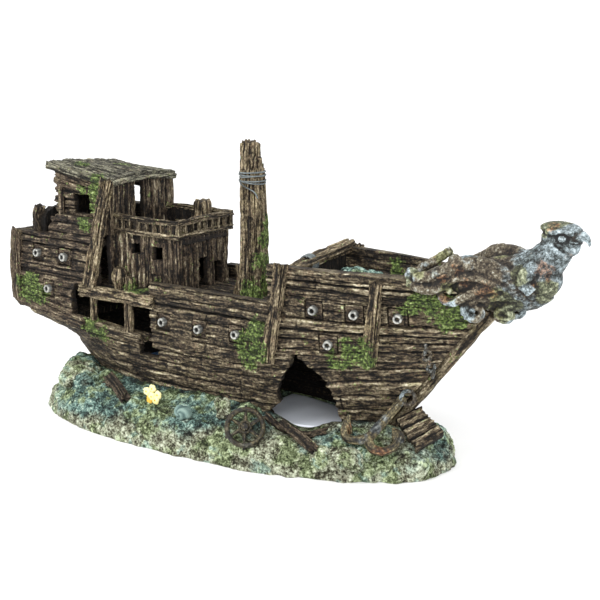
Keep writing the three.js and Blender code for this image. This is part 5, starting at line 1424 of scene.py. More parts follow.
def build_cabins(props):
    half, aft, fore, base = POOP_HALF, POOP_AFT_X, CASTLE_FRONT_X, CASTLE_Z
    length = fore - aft
    share = lambda x: (fore - x) / POOP_LENGTH
    eave = lambda x, across=-1: EAVE_Z + ROOF_PITCH * (fore - x) - (1.0 + 2.6 * share(x)) * (1 + across) / 2
    skins = []
    for _, side in SIDES:
        keep = lambda u, v, side=side: np.minimum(hole(u, v, (length - 24.6, 11), (length - 13.8, 20.5), 0.35, 9),
                                                  eave(aft + u, side) - base + 1 - v)
        skins.append(wall((aft, side * half, base), AHEAD, UP, (length, 32), 240 + side, (0, side, 0), keep,
                          vertical=False, width=4.2))
    front_top = eave(fore) - DECK_Z + 2.5
    door = lambda u, v: np.minimum(hole(u, v, (17.0, 26), (23.6, 47), 0.4, 11), front_top - v)
    skins.append(wall((fore, -half - 1.4, DECK_Z), ACROSS, UP, (2 * half + 2.8, front_top + 1), 243,
                      (1, 0, 0), door))
    aft_door = lambda u, v: hole(u, v, (24.0, 10), (32.0, 22), 0.5, 12)
    skins.append(wall((aft, -half, base), ACROSS, UP, (2 * half, 28), 244, (-1, 0, 0), aft_door))
    for _, side in SIDES:
        fore_post = [(fore - 1, side * (half + 0.9), DECK_Z + 24), (fore - 1, side * (half + 0.4), eave(fore, side))]
        aft_post = [(aft + 1, side * half, base), (aft + 1, side * half, eave(aft, side))]
        skins.append(sweep(fore_post, 4.0, 3.0, (0, side, 0), seed=246 + side, grain=0.6))
        skins.append(sweep(aft_post, 4.4, 3.0, (0, side, 0), seed=249 + side, grain=0.6))
    for _, side in SIDES:
        for k, (drop, tall) in enumerate(((1.6, 3.2), (5.3, 3.4))):
            y = side * (half + 1.1 - 0.4 * k)
            skins.append(sweep([(aft - 1.5, y, eave(aft, side) - drop), (fore - 3, y, eave(fore, side) - drop)], tall,
                               2.0, (0, side, 0), around=36, seed=420 + k + side, ragged=(2.5, 2), grain=0.5))
    # The ends of the boards at the after corner stick out in turn.
    for k in range(6):
        z = base + 3 + 4.6 * k
        out = 1.1 * (k % 2)
        skins.append(sweep([(aft - 1.6 - out, -half + 0.4, z), (aft + 2, -half + 0.4, z + 0.3)], 3.8, 4.2,
                           seed=430 + k, power=2.6, ragged=(0.8, 0), grain=0.5))
    make_piece("poop_house", ["poop_cabin"], skins, "brown")
    roof(eave)
    middle_cabin()


def roof(eave):
    """The poop roof: boards arched as the square of the distance from the middle line, and twisted: the port eave sinks
    towards the stern."""
    x0, x1, half = POOP_AFT_X - 7, CASTLE_FRONT_X + 2, ROOF_HALF

    def place(s, t):
        x = lerp(x0, x1, s)
        across = 2 * t - 1
        crown = lerp(2.3, 1.0, (CASTLE_FRONT_X - x) / POOP_LENGTH)
        z = eave(x, across) + 3.0 + crown * (1 - across**2) + 0.4 * noise2(x / 14, across * 3, 254)
        return np.stack([x, across * half, z], -1), x, across * half

    def keep(a, b, points):
        front = x1 - 0.4 - a + 0.8 * noise2(b / 2.2, a * 0, 251)
        back = a - x0 - 0.4 + 1.4 * noise2(b / 2.5, a * 0, 252)
        return np.minimum(np.minimum(front, back), half + 0.2 - np.abs(b) + 0.4 * noise2(a / 3, b * 0, 253))

    top = slab(place, (70, 120), lambda a, b, points: wood(a, b, 250, 4.4, deep=0.8, grain=0.45), keep, 3.4, 1)
    rim = [sweep([(x0 + 2, side * (half - 0.6), eave(x0, side) + 1.4),
                  (x1 - 2, side * (half - 0.6), eave(x1, side) + 1.4)], 3.0, 3.4, (0, side, 0),
                 seed=256 + side, ragged=(3, 1), grain=0.6) for side in (STARBOARD, PORT)]
    rim.append(sweep([(x1 - 1, -half + 0.5, eave(x1) + 1.6), (x1 - 1, 0, eave(x1, 0) + 3.4),
                      (x1 - 1, half - 0.5, eave(x1, 1) + 1.6)], 3.4, 3.0,
                     (1, 0, 0), seed=259, ragged=(1, 1), grain=0.6))
    # The roof's paint is darkened a little (0.92): painted shade.
    make_piece("poop_house_roof", ["poop_roof"], [top, *rim], "grey", painted_shading=0.92)


def middle_cabin():
    """The cabin between the castle and the mast, with its balustrade and the two bitts."""
    aft, fore, half = CASTLE_FRONT_X + 0.4, CABIN_FORE_X, MIDDLE_HALF
    length, tall = fore - aft, BALUSTRADE_Z - DECK_Z
    skins = []
    for _, side in SIDES:
        keep = lambda u, v: np.minimum(
            np.minimum(hole(u, v, (8.6, 16), (13.8, 21), 0.3, 14), hole(u, v, (22, 14.5), (28, 20.5), 0.4, 15)),
            v - 0.8 - 1.6 * noise2(u / 1.4, 0 * v, 16 + side))
        skins.append(wall((aft, side * half, DECK_Z - 0.5), AHEAD, UP, (length, tall + 0.5), 260 + side,
                          (0, side, 0), keep, width=3.4))
    front = lambda u, v: np.minimum(
        np.minimum(hole(u, v, (14.6, -2), (21, 14.5), 0.5, 17), hole(u, v, (25.6, -2), (31, 11.5), 0.5, 18)),
        v - 0.6 - 1.4 * noise2(u / 1.4, 0 * v, 19))
    skins.append(wall((fore, -half, DECK_Z - 0.5), ACROSS, UP, (2 * half, tall + 0.5), 263, (1, 0, 0), front,
                      width=3.4))
    skins.append(wall((aft + 0.6, -half, DECK_Z), ACROSS, UP, (2 * half, tall), 264, (-1, 0, 0)))
    for _, side in SIDES:
        skins.append(sweep([(fore - 0.8, side * (half - 0.8), DECK_Z - 0.5),
                            (fore - 0.8, side * (half - 0.8), BALUSTRADE_Z)], 3.4, 3.4,
                           (0.7, side * 0.7, 0), seed=266 + side, grain=0.6))
    skins.append(wall((aft, -half, BALUSTRADE_Z - 0.2), AHEAD, ACROSS, (length + 1, 2 * half), 268, (0, 0, 1),
                      vertical=False, cell=(0.5, 0.9)))
    # The middle house's paint is lightened a little (1.1): painted light.
    make_piece("middle_house", ["mid_cabin"], skins, "brown", painted_shading=1.1)
    balustrade(aft, fore, half)
    turned = lambda s: 11 - 3.4 * s + 0.8 * np.sin(9 * s)
    spot = (fore - 9, half - 7.2)
    make_piece("roof_bitt", ["roof_bollard"], [
        sweep([(*spot, BALUSTRADE_Z), (*spot, BALUSTRADE_Z + 14)], turned, turned, around=36, power=2.2,
              seed=270, ragged=(0, 1), grain=0.5),
    ], "pale")
    spot = (CASTLE_FRONT_X + 6, -(half + 5.4))
    knob = lambda s: 5.2 + 2.6 * np.sin(math.pi * np.clip(s * 1.25 - 0.2, 0, 1))
    make_piece("deck_bitt", ["deck_bollard"], [
        sweep([(*spot, DECK_Z - 1), (*spot, DECK_Z + 8.8)], knob, knob, around=36, power=2.4, seed=271,
              ragged=(0, 0.6), grain=0.45),
        sweep([(spot[0] + 6.5, spot[1], DECK_Z - 1), (spot[0] + 6.5, spot[1], DECK_Z + 5)], 4.2, 3.6,
              seed=272, ragged=(0, 1)),
    ], "pale")


def balustrade(aft, fore, half):
    """A rail and a sill joined by short posts, round three sides of the cabin's roof."""
    out = 1.2
    z0, z1 = BALUSTRADE_Z + 1.2, BALUSTRADE_Z + 7.8
    x_end, y_end = fore + out, half + out
    skins = []
    seed = 280
    runs = [((aft, -y_end), (x_end, -y_end)), ((x_end, -y_end), (x_end, y_end)), ((x_end, y_end), (aft, y_end))]
    for a, b in runs:
        a, b = np.array(a, float), np.array(b, float)
        along = (b - a) / np.linalg.norm(b - a)
        facing = np.array([along[1], -along[0], 0])
        for z, tall, deep in ((z0, 2.6, 3.0), (z1, 2.9, 3.4)):
            sag = np.array([0, 0, 0.5 * math.sin(seed)])
            middle = np.array([*((a + b) / 2), z]) + sag
            skins.append(sweep([(*(a - along * 0.8), z), middle, (*(b + along * 0.8), z + 0.1)], tall, deep, facing,
                               around=36, seed=seed, ragged=(0.6, 0.6), grain=0.6))
            seed += 1
        # A thin wall stands behind the posts, its tone cut to 0.35: painted shade between the posts.
        start = np.array([*a, z0]) - facing * 0.6
        skins.append(wall(start, (*along, 0), (0, 0, 1), (np.linalg.norm(b - a), z1 - z0), seed + 30, facing,
                          thickness=0.8, cell=(0.6, 0.9), inner=0.1, deep=0.5))
        skins[-1].tone = skins[-1].tone * 0.35
        count = int(round(np.linalg.norm(b - a) / 5.0))
        for k in range(count + 1):
            p = a + (b - a) * k / count
            thick = 3.0 if k in (0, count) else 2.1 + 0.5 * math.sin(5.1 * k + seed)
            skins.append(sweep([(*p, z0 + 0.6), (*p, z1 - 0.4)], thick, 2.4, facing, around=18, step=0.8, seed=seed,
                               grain=0.45, power=3.4))
            seed += 1
    make_piece("roof_rail", ["balustrade"], skins, "wood")


def build_mast(props):
    girth = lambda s: 13.2 - 2.6 * s
    main = sweep([(MAST_X, 0, DECK_Z - 1), (MAST_X + 0.4, 0, 92), (MAST_X - 0.2, 0, 122.5)], girth, girth,
                 around=88, step=0.7, power=2.5, seed=290, ragged=(0, 4.0), grain=0.8, pitch=0.8)
    splinter = sweep([(MAST_X - 1.4, 0.5, 96), (MAST_X - 1.6, 0.5, 120), (MAST_X - 1.5, 0.5, MAST_TOP_Z - 1.6)],
                     lambda s: 9.4 - 1.2 * s, 8.6, around=64, step=0.7, power=3, seed=291, ragged=(0, 3.0),
                     grain=0.75, pitch=0.8)
    side_splinter = sweep([(MAST_X + 3.1, -1.0, 100), (MAST_X + 3.3, -1, 127.5)], 4.2, 5.0, around=32,
                          step=0.8, power=3, seed=292, ragged=(0, 3.0), grain=0.7)
    foot = [sweep([(MAST_X + 5.4, -4.0, DECK_Z - 1), (MAST_X + 5.0, -3.6, DECK_Z + 17)], 3.2, 2.6, (0.6, -0.8, 0),
                  seed=293, ragged=(0, 4)),
            sweep([(MAST_X - 7.2, -2.0, DECK_Z - 1), (MAST_X - 6.6, -1.6, DECK_Z + 12)], 4.4, 3.4, seed=294,
                  ragged=(0, 3), grain=0.7)]
    make_piece("mast_stump", ["mast"], [main, splinter, side_splinter, *foot], "pale")
    turns = []
    for k, (z, tilt) in enumerate(((120.8, 0.05), (119.6, -0.04), (118.9, 0.1), (117.0, 0.0), (116.6, -0.14))):
        across = np.array([1, 0, tilt])
        across /= np.linalg.norm(across)
        turns.append(hoop((MAST_X - 0.1, 0, z), across, (0, 1, 0), 5.9 + 0.12 * (k % 2), 0.65, 10, 90, 300 + k))
    loose = [(MAST_X - 5.8, -2.4, 117), (MAST_X - 1, -6.5, 115.4), (MAST_X + 4.4, -4.8, 112.6),
             (MAST_X + 5.4, -3.4, 109.4)]
    turns.append(sweep(loose, 0.8, 0.8, (0, 0, 1), around=10, power=2, seed=306, grain=0.1, mossy=False))
    make_piece("mast_rope", ["mast_lashing"], turns, "rope", 0)
    start = np.array([MID_RIB_X + 0.5, -26.5, BOW_RAIL_Z - 5.5])
    end = np.array([MID_RIB_X + 1.5, 25.0, BOW_RAIL_Z + 1.2])
    beam = [sweep([start, (start + end) / 2 + [0, 0, 0.8], end], 6.2, 5.6, (-1, 0, 0.2), around=44, seed=295,
                  ragged=(3, 2), grain=0.8),
            sweep([start + [3, 6, 3], end + [2.4, 0, 1.4]], 3.0, 3.4, (-1, 0, 0.2), around=28, seed=296, ragged=(3, 2),
                  grain=0.6)]
    make_piece("forecastle_beam", ["cross_beam"], beam, "pale")
    direction = (end - start) / np.linalg.norm(end - start)
    loops = []
    for k in range(4):
        centre = start + direction * (19.5 + 1.2 * k) + [0, 0, 0.6]
        across = np.cross(direction, [0, 0, 1])
        across /= np.linalg.norm(across)
        upward = np.cross(across, direction + np.array([0, 0, 0.08 * (k - 1.5)]))
        loops.append(hoop(centre, across, upward / np.linalg.norm(upward), 3.7, 0.85, 10, 70, 310 + k))
    make_piece("beam_rope", ["beam_lashing"], loops, "rope", 0)


def bone(points, radii, around=20, step=0.8):
    """A smooth round bar with its own radius at each point, for parts that are melted together afterwards."""
    radii = np.asarray(radii, float)
    knots = np.linspace(0, 1, len(radii))
    width = lambda s: 2 * np.interp(s, knots, radii)
    return sweep(points, width, width, (0.02, -1, 0.03), around=around, step=step, power=2.0, mossy=False,
                 relief=lambda w, a, p: (np.zeros((len(w), a.shape[1])), np.zeros((len(w), a.shape[1]))))


def plain_ball(centre, radii):
    """A smooth ball, to be melted together with other parts."""
    return lump(centre, radii, lambda q: (0 * q[:, 0], 0 * q[:, 0]), 40, 22)


def figure_parts():
    """The eagle's bars and balls, measured forward from the end of the bow planking."""
    f = FIGURE_X

    def run(knots, mirror=1):
        return bone([(f + x, mirror * y, z) for x, y, z, _ in knots], [r for *_, r in knots])

    def ball(x, y, z, radii):
        return plain_ball((f + x, y, z), radii)

    parts = [
        run([(-3, 0, 85, 7), (8, 0, 87, 9.5), (17, 0, 87.5, 10.5), (24, 0, 90.5, 10)]),
        run([(18, 0, 90, 9), (25.6, 0, 94.5, 8.6), (30.2, 0, 99.4, 7.5), (34, 0, 104, 6.2)]),
        ball(24.6, 0, 89.6, (10.2, 8.2, 8.6)),
        ball(33.4, 0, 106.4, (8.0, 5.3, 4.9)),
        ball(33.4, 0, 110.4, (8.9, 4.9, 2.9)),
        ball(36.6, 0, 103.4, (5.2, 4.3, 3.8)),
        run([(38.6, 0, 108.0, 3.3), (42.2, 0, 108.3, 2.7), (44.6, 0, 107.4, 1.9), (45.6, 0, 105.6, 1.1),
             (45.6, 0, 104.3, 0.5)]),
        run([(37, 0, 104.3, 3.0), (41.6, 0, 103.9, 1.7)]),
        run([(28, 0, 86.5, 6), (22, 0, 83, 6.5), (14, 0, 81.5, 7), (6, 0, 80, 7), (2, 0, 78, 5.5)]),
        run([(-24.5, -8.6, 88.5, 2.3), (-21, -8.5, 90.8, 2.0), (-17.5, -8.3, 93.2, 2.1), (-14, -8, 95.6, 1.9),
             (-10.6, -7.8, 98.2, 2.0)]),
        run([(17, 3, 93, 5), (12, 8, 95, 4.5), (6, 11, 96, 4)]),
        ball(4.5, 9, 93.5, (9.5, 5.5, 6.8)),
        ball(-2, -9, 91, (8, 5, 6.2)),
    ]
    for _, side in SIDES:
        parts += [
            run([(-21, 19.2, 87.2, 2.4), (-14.6, 17.6, 88.6, 2.8), (-7.8, 15.6, 91.4, 3.3), (-1, 13, 94.2, 3.8),
                 (5, 10.5, 93.6, 4.1), (11, 8, 91, 4.6), (18, 5, 89, 5)], side),
            run([(-15, 17, 84.6, 1.9), (-8.2, 15.4, 87.2, 2.2), (-2.3, 14, 89.4, 2.3), (4, 12.4, 89.8, 2.3),
                 (9.8, 10.4, 88, 2.6), (15, 8, 86, 3)], side),
            ball(-23.0, side * 17.6, 88.0, (3.2, 2.6, 3.4)),
            run([(-24, 18.6, 85.6, 2.2), (-19, 18.6, 83.6, 2.4), (-14, 17.4, 83, 2.2), (-9.6, 15.8, 84.6, 1.9)], side),
            ball(-6, side * 9.2, 86.5, (15, 4.2, 6)),
            ball(3, side * 6.0, 81.5, (7, 3.6, 6.5)),
            run([(12, 8, 86, 3.4), (8, 10.2, 85.6, 2.7), (3.4, 11.6, 83.9, 2.4), (-2.6, 12.2, 80.2, 2.3),
                 (-7, 13, 78, 2.2), (-10.4, 14.4, 79.6, 2.0), (-10.8, 15.0, 82.6, 1.9), (-8.8, 15.0, 84.6, 1.7),
                 (-6.8, 14.4, 83.6, 1.4), (-7.6, 14.3, 82, 1.3)], side),
            run([(18, 5, 85, 4), (12.5, 7.2, 83, 3.4), (8, 8.4, 82, 2.9), (3, 9.6, 80.6, 2.6), (-0.8, 10, 78.0, 2.4),
                 (-2.4, 9.8, 74.8, 2.2), (-1.0, 9.2, 72.2, 2.1), (2.4, 8.8, 71.6, 2.0), (4.8, 8.8, 73.6, 1.9),
                 (4.0, 9.2, 76.2, 1.6), (1.6, 9.8, 76.2, 1.4), (0.8, 9.9, 74.6, 1.3)], side),
            run([(22, 3, 82.5, 4), (16.5, 4, 79, 3.2), (11.6, 4.4, 76, 2.5), (9.8, 4.4, 73.2, 2.2),
                 (12.6, 4.6, 71.9, 2.1), (15.8, 4.8, 73.2, 2.0), (15.6, 5, 75.4, 1.7), (13.4, 5, 75.2, 1.4)], side),
            run([(28, 5.2, 97, 2.2), (24, 7.6, 93.5, 3.2), (23, 8.2, 89, 3.4), (26, 7.2, 85.5, 2.8)], side),
            run([(29, 4.6, 109.3, 0.9), (33, 5.0, 109.7, 1.2), (37, 4.4, 109.7, 1.2), (40, 3.1, 109.2, 0.9)], side),
            ball(36.3, side * 4.0, 107.3, (1.9, 1.5, 1.5)),
            run([(38.5, 3.4, 105.6, 0.7), (42, 2.2, 105.4, 0.6)], side),
        ]
    return parts


OLIVE_SPOTS = [((-7.5, -14, 83), 5), ((-23, -18, 86), 4), ((13, -6, 80), 8), ((22, -8, 92), 5), ((31, 0, 112), 7),
               ((30, -4, 86), 6), ((-20, -18, 90), 5), ((6, 8, 92), 6), ((13, -4, 74), 4), ((-14, -8, 96), 5),
               ((8, 0, 98), 5)]
RUST_SPOTS = [((29, -6, 94), 5), ((6, -11, 85), 6), ((-2, -14, 93.5), 4.5), ((-10, -16, 89), 4), ((31, -4, 112), 3.4),
              ((0, -12, 88), 4.5), ((25, -8, 88), 3), ((10, 8, 95), 4), ((29, 6, 94), 5), ((6, 11, 85), 6),
              ((-9, -15, 80), 3)]

BLOOM_SPOTS = [((-22, -18, 88), 5), ((0, -13, 95), 5), ((-8, -13, 78), 5), ((-1, -10, 74), 4)]


def proudness(mesh, points, normal, rounds):
    """How far each vertex stands proud of its surroundings: its height over the same mesh after rounds of averaging
    with its neighbours. Grooves come out negative."""
    edges = np.empty(len(mesh.edges) * 2, np.int32)
    mesh.edges.foreach_get("vertices", edges)
    one, other = edges.reshape(-1, 2).T
    count = len(points)
    ways = np.bincount(one, minlength=count) + np.bincount(other, minlength=count)
    smooth = points.copy()
    for _ in range(rounds):
        total = np.stack([np.bincount(one, smooth[other, k], count) + np.bincount(other, smooth[one, k], count)
                          for k in range(3)], -1)
        smooth = 0.3 * smooth + 0.7 * total / ways[:, None]
    return ((points - smooth) * normal).sum(axis=1)


def build_figurehead(props):
    """Round bars and balls are melted into one closed body by a voxel remesh. The result is moved along its normals by
    pits and furrows."""
    piece = make_piece("eagle_figurehead", ["figurehead"], figure_parts(), "patina", 0)
    melt(piece, props.voxel * MM)
    mesh = piece.data
    count = len(mesh.vertices)
    co = np.empty(count * 3, np.float32)
    no = np.empty(count * 3, np.float32)
    mesh.vertices.foreach_get("co", co)
    mesh.vertices.foreach_get("normal", no)
    points, normal = co.reshape(-1, 3).astype(float) / MM, no.reshape(-1, 3).astype(float)
    proud = proudness(mesh, points, normal, 14)
    local = points - [FIGURE_X + SHIFT_X, 0, 0]
    x, y, z = local.T
    head = smoothstep(x, 24, 30)
    lines = np.abs(noise3(x / 9 + z / 12, y / 2.2, (z - 0.6 * x) / 2.0, 420))
    furrow = (1 - smoothstep(lines, 0, 0.2)) * (1 - head)
    pits = fractal(points, 1.4, 430, 3)
    crumbs, pick = bubbles(points, 1.2, 440)
    dome = np.clip(crumbs * 1.6, 0, 1)
    height = -0.35 * furrow + 0.24 * pits + 0.22 * dome * pick - 0.1
    points = points + normal * height[:, None]
    mesh.vertices.foreach_set("co", (points * MM).astype(np.float32).ravel())
    # Standing proud lightens the tone and lying in a groove darkens it: painted highlight on the ridges, painted shade
    # in the grooves, partly the wash and dry brush of the paint.
    tone = 0.44 - 0.22 * furrow + 0.3 * pits + 0.2 * dome * pick + np.clip(1.5 * proud, -0.5, 0.3)
    tone = np.clip(tone, 0, 1)
    bloom = np.maximum(0.85 * head, smoothstep(x, 8, 18) * 0.6) + np.clip(1.2 * proud, -0.3, 0.35)
    bloom = bloom + spots(local, BLOOM_SPOTS) * 0.7
    # A pale eye in a dark ring, and a dark line between the two halves of the beak: painted shade in the gap.
    eye = np.linalg.norm((local - [36.3, 0, 107.3]) * [0.8, 0, 1], axis=1)
    outer = np.abs(y) > 3.2
    tone = np.where((eye > 1.25) & (eye < 2.3) & outer, 0.0, np.where((eye <= 1.25) & outer, 0.8, tone))
    mouth = np.abs(z - 105.5 + 0.1 * (x - 40)) < 0.35
    tone = np.where(mouth & (x > 38.5) & (x < 44.6), 0.05, tone)
    coats = {"tone": tone, "tint": spots(local, RUST_SPOTS), "moss": spots(local, OLIVE_SPOTS), "bloom": bloom}
    for key, data in coats.items():
        layer = mesh.attributes.get(key) or mesh.attributes.new(key, "FLOAT", "POINT")
        layer.data.foreach_set("value", data.astype(np.float32))
    mesh.update()
    mesh.shade_smooth()
    links = []
    lean = np.array([0.12, 0, 1.0]) / np.linalg.norm([0.12, 0, 1.0])
    for k in range(5):
        here = np.array(on_side(STARBOARD, at(0.905) + 0.3 * k, 55.5 - k * 2.7, 1.0))
        wide = np.array([0.85, 0.5, 0]) if k % 2 else np.array([0.6, -0.8, 0.0])
        links.append(hoop(here, 0.8 * wide / np.linalg.norm(wide), lean, 2.0, 1.7, 12, 40, 460 + k))
    bloomed(make_piece("bow_chain", ["hawse_chain"], links, "patina", 0))


def bloomed(piece):
    """Gives a whole piece the blue-grey coat of the figurehead's head."""
    layer = piece.data.attributes.new("bloom", "FLOAT", "POINT")
    layer.data.foreach_set("value", np.full(len(piece.data.vertices), 0.45, np.float32))


def melt(piece, voxel):
    """Applies a voxel remesh and a little smoothing."""
    remesh = piece.modifiers.new("melt", "REMESH")
    remesh.mode = "VOXEL"
    remesh.voxel_size = voxel
    smooth = piece.modifiers.new("soften", "SMOOTH")
    smooth.factor, smooth.iterations = 0.5, 4
    graph = bpy.context.evaluated_depsgraph_get()
    result = bpy.data.meshes.new_from_object(piece.evaluated_get(graph))
    piece.modifiers.clear()
    old = piece.data
    name = old.name
    piece.data = result
    bpy.data.meshes.remove(old)
    result.name = name
    if not result.materials:
        result.materials.append(paints()["patina"])


def turned(lean, turn):
    """A rotation that leans back by one angle, then turns about the vertical by another, both in degrees."""
    a, b = math.radians(-lean), math.radians(turn)
    back = np.array([[1, 0, 0], [0, math.cos(a), -math.sin(a)], [0, math.sin(a), math.cos(a)]])
    spin = np.array([[math.cos(b), -math.sin(b), 0], [math.sin(b), math.cos(b), 0], [0, 0, 1]])
    return spin @ back


def build_ironwork(props):
    m = turned(28, 32)
    centre = np.array([14.2, -45.2, 17.9])
    to = lambda x, y, z: tuple(centre + m @ np.array([x, y, z], float))
    skins = [hoop(centre, m @ [1, 0, 0], m @ [0, 0, 1], 7.8, 2.2, 16, 96, 470, depth=2.8),
             hoop(centre, m @ [1, 0, 0], m @ [0, 0, 1], 2.3, 1.5, 12, 40, 471, depth=2.8)]
    skins.append(sweep([to(0, -1.8, 0), to(0, 1.4, 0)], 3.4, 3.4, tuple(m @ [1, 0, 0]), around=24, step=0.5, power=2,
                       seed=472, grain=0.2, mossy=False))
    for k in range(6):
        t = (k + 0.5) / 6 * 2 * math.pi
        c, s = math.cos(t), math.sin(t)
        thick = lambda q: 1.5 + 0.7 * np.exp(-(((q - 0.82) / 0.08) ** 2)) + 0.4 * np.sin(6 * q)
        skins.append(sweep([to(1.2 * c, 0, 1.2 * s), to(9.6 * c, 0, 9.6 * s)], thick, thick, tuple(m @ [0, 1, 0]),
                           around=14, step=0.4, power=2, seed=473 + k, grain=0.15, mossy=False))
    make_piece("steering_wheel", ["ship_wheel"], skins, "wheel", 0)
    crown, eye = (63.8, -25, 17), (70.4, -9.2, 31)
    arms = [
        [crown, (58, -29.3, 16.6), (54.3, -28.6, 19), (53.4, -25, 23)],
        [crown, (67.5, -27.3, 14.4), (72, -26, 13.6), (75.3, -22, 15.5), (75.2, -18.2, 18.8)],
    ]
    taper = lambda s: 4.3 - 1.2 * s
    shank = sweep([crown, eye], lambda s: 4.5 - 0.9 * s, lambda s: 4.3 - 0.9 * s, (0, 1, 0.6), around=24, step=0.6,
                  power=2.6, seed=480, grain=0.3, mossy=False)
    skins = [shank, plain_iron(crown, (2.5, 2.3, 2.5), 481), plain_iron(eye, (2.4, 2.0, 2.2), 482)]
    for k, arm in enumerate(arms):
        skins.append(sweep(arm, taper, taper, (0, -0.5, 1), around=24, step=0.6, power=2.2, seed=483 + k, grain=0.3,
                           mossy=False))
    blade = lambda s: 1.2 + 4.4 * np.sin(math.pi * np.clip(s, 0.05, 1) ** 0.8)
    flukes = [
        ([(55.6, -25.6, 17.6), (53.6, -25, 22), (53.6, -23.6, 25.4)], (-0.5, -0.7, 0.2)),
        ([(77.0, -17.6, 16.4), (73.6, -17.2, 18.6), (70.2, -15.0, 20.2)], (0.4, -0.8, 0.4)),
    ]
    for k, (fluke, facing) in enumerate(flukes):
        skins.append(sweep(fluke, blade, 1.8, facing, around=22, step=0.5, power=2.2, seed=486 + k, grain=0.3,
                           mossy=False))
    make_piece("wreck_anchor", ["anchor"], skins, "rust", 0)
    r = turned(12, 36)
    ring = hoop((73, -8.4, 32.6), r @ [1, 0, 0], r @ [0, 0, 1], 2.9, 1.7, 12, 48, 488)
    bloomed(make_piece("anchor_shackle", ["anchor_ring"], [ring], "patina", 0))


def plain_iron(centre, radii, seed):
    """A slightly rough iron knob."""
    return lump(centre, radii, lambda q: (0.2 * fractal(q, 1.5, seed), 0.5 + 0.4 * fractal(q, 1.2, seed)), 36, 20)


def build_air_set(props):
    smooth = lambda w, a, p: (np.zeros((len(w), a.shape[1])), 0.5 + 0.1 * np.sin(w) * np.ones_like(a))
    tube = [(AIR_X, 33, 7), (AIR_X, 12, 7), (AIR_X, 3.2, 7.2), (AIR_X, 0.4, 9.6), (AIR_X, 0, 12), (AIR_X, 0, 16.8)]
    make_piece("air_pipe", ["air_tube"], [
        sweep(tube, 4.9, 4.9, (1, 0, 0.01), around=28, step=0.6, power=2, relief=smooth, mossy=False)], "plastic",
               40)
    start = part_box("air_nipple")[0][1] / MM
    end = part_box("air_nipple")[1][1] / MM
    # The nipple's outline: a core of 4 mm, a collar of 9 mm and two barbs of 5.4 mm.
    stations = [0, 9.6, 9.7, 11.2, 11.3, 12.8, 12.9, 14.4, 14.5, 15.6, 15.7, 16.6, end - start]
    barb = lambda s: np.interp(s * (end - start), stations, [4, 4, 9, 9, 4, 4, 5.4, 4, 4, 4, 5.4, 4.2, 4])
    nipple = sweep([(AIR_X, start, 7), (AIR_X, end, 7)], barb, barb, (1, 0, 0.01), around=32, step=0.25, power=2,
                   relief=smooth, mossy=False)
    rim = hoop((AIR_X, end - 0.1, 7), (1, 0, 0), (0, 0, 1), 1.5, 0.9, 12, 40, 490)
    make_piece("air_barb", ["air_nipple"], [nipple, rim], "plastic", 40)
    grit = lambda w, a, p: (0.22 * noise3(np.cos(a) * 9, np.sin(a) * 9, w * 1.6, 491),
                            0.5 + 0.5 * noise3(np.cos(a) * 12, np.sin(a) * 12, w * 2, 492))
    low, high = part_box("air_stone")
    girth = lambda s: 12 - 1.8 * s
    stone = sweep([(AIR_X, 0, low[2] / MM), (AIR_X, 0, high[2] / MM - 0.2)], girth, girth, around=64,
                  step=0.5, power=2, relief=grit, mossy=False)
    make_piece("bubble_stone", ["air_stone"], [stone], "grit", 60)


# The camera aims at this point of the ship, in millimetres. The lights aim above the frame's origin.
AIM_X, AIM_Z = 10.5, 65.0
SENSOR_WIDTH = 36
# The studio floor lies this far under the seabed, in metres, so that the two don't flicker.
FLOOR_GAP = 0.0002
# Name, size in metres, share of the key light's power, and place in metres.
LIGHTS = (
    ("key", 0.9, 1.0, (-0.45, -0.85, 1.0)),
    ("fill", 1.0, 1.1, (0.9, -1.0, 0.75)),
    ("back", 1.0, 0.4, (0.3, 1.1, 0.9)),
)


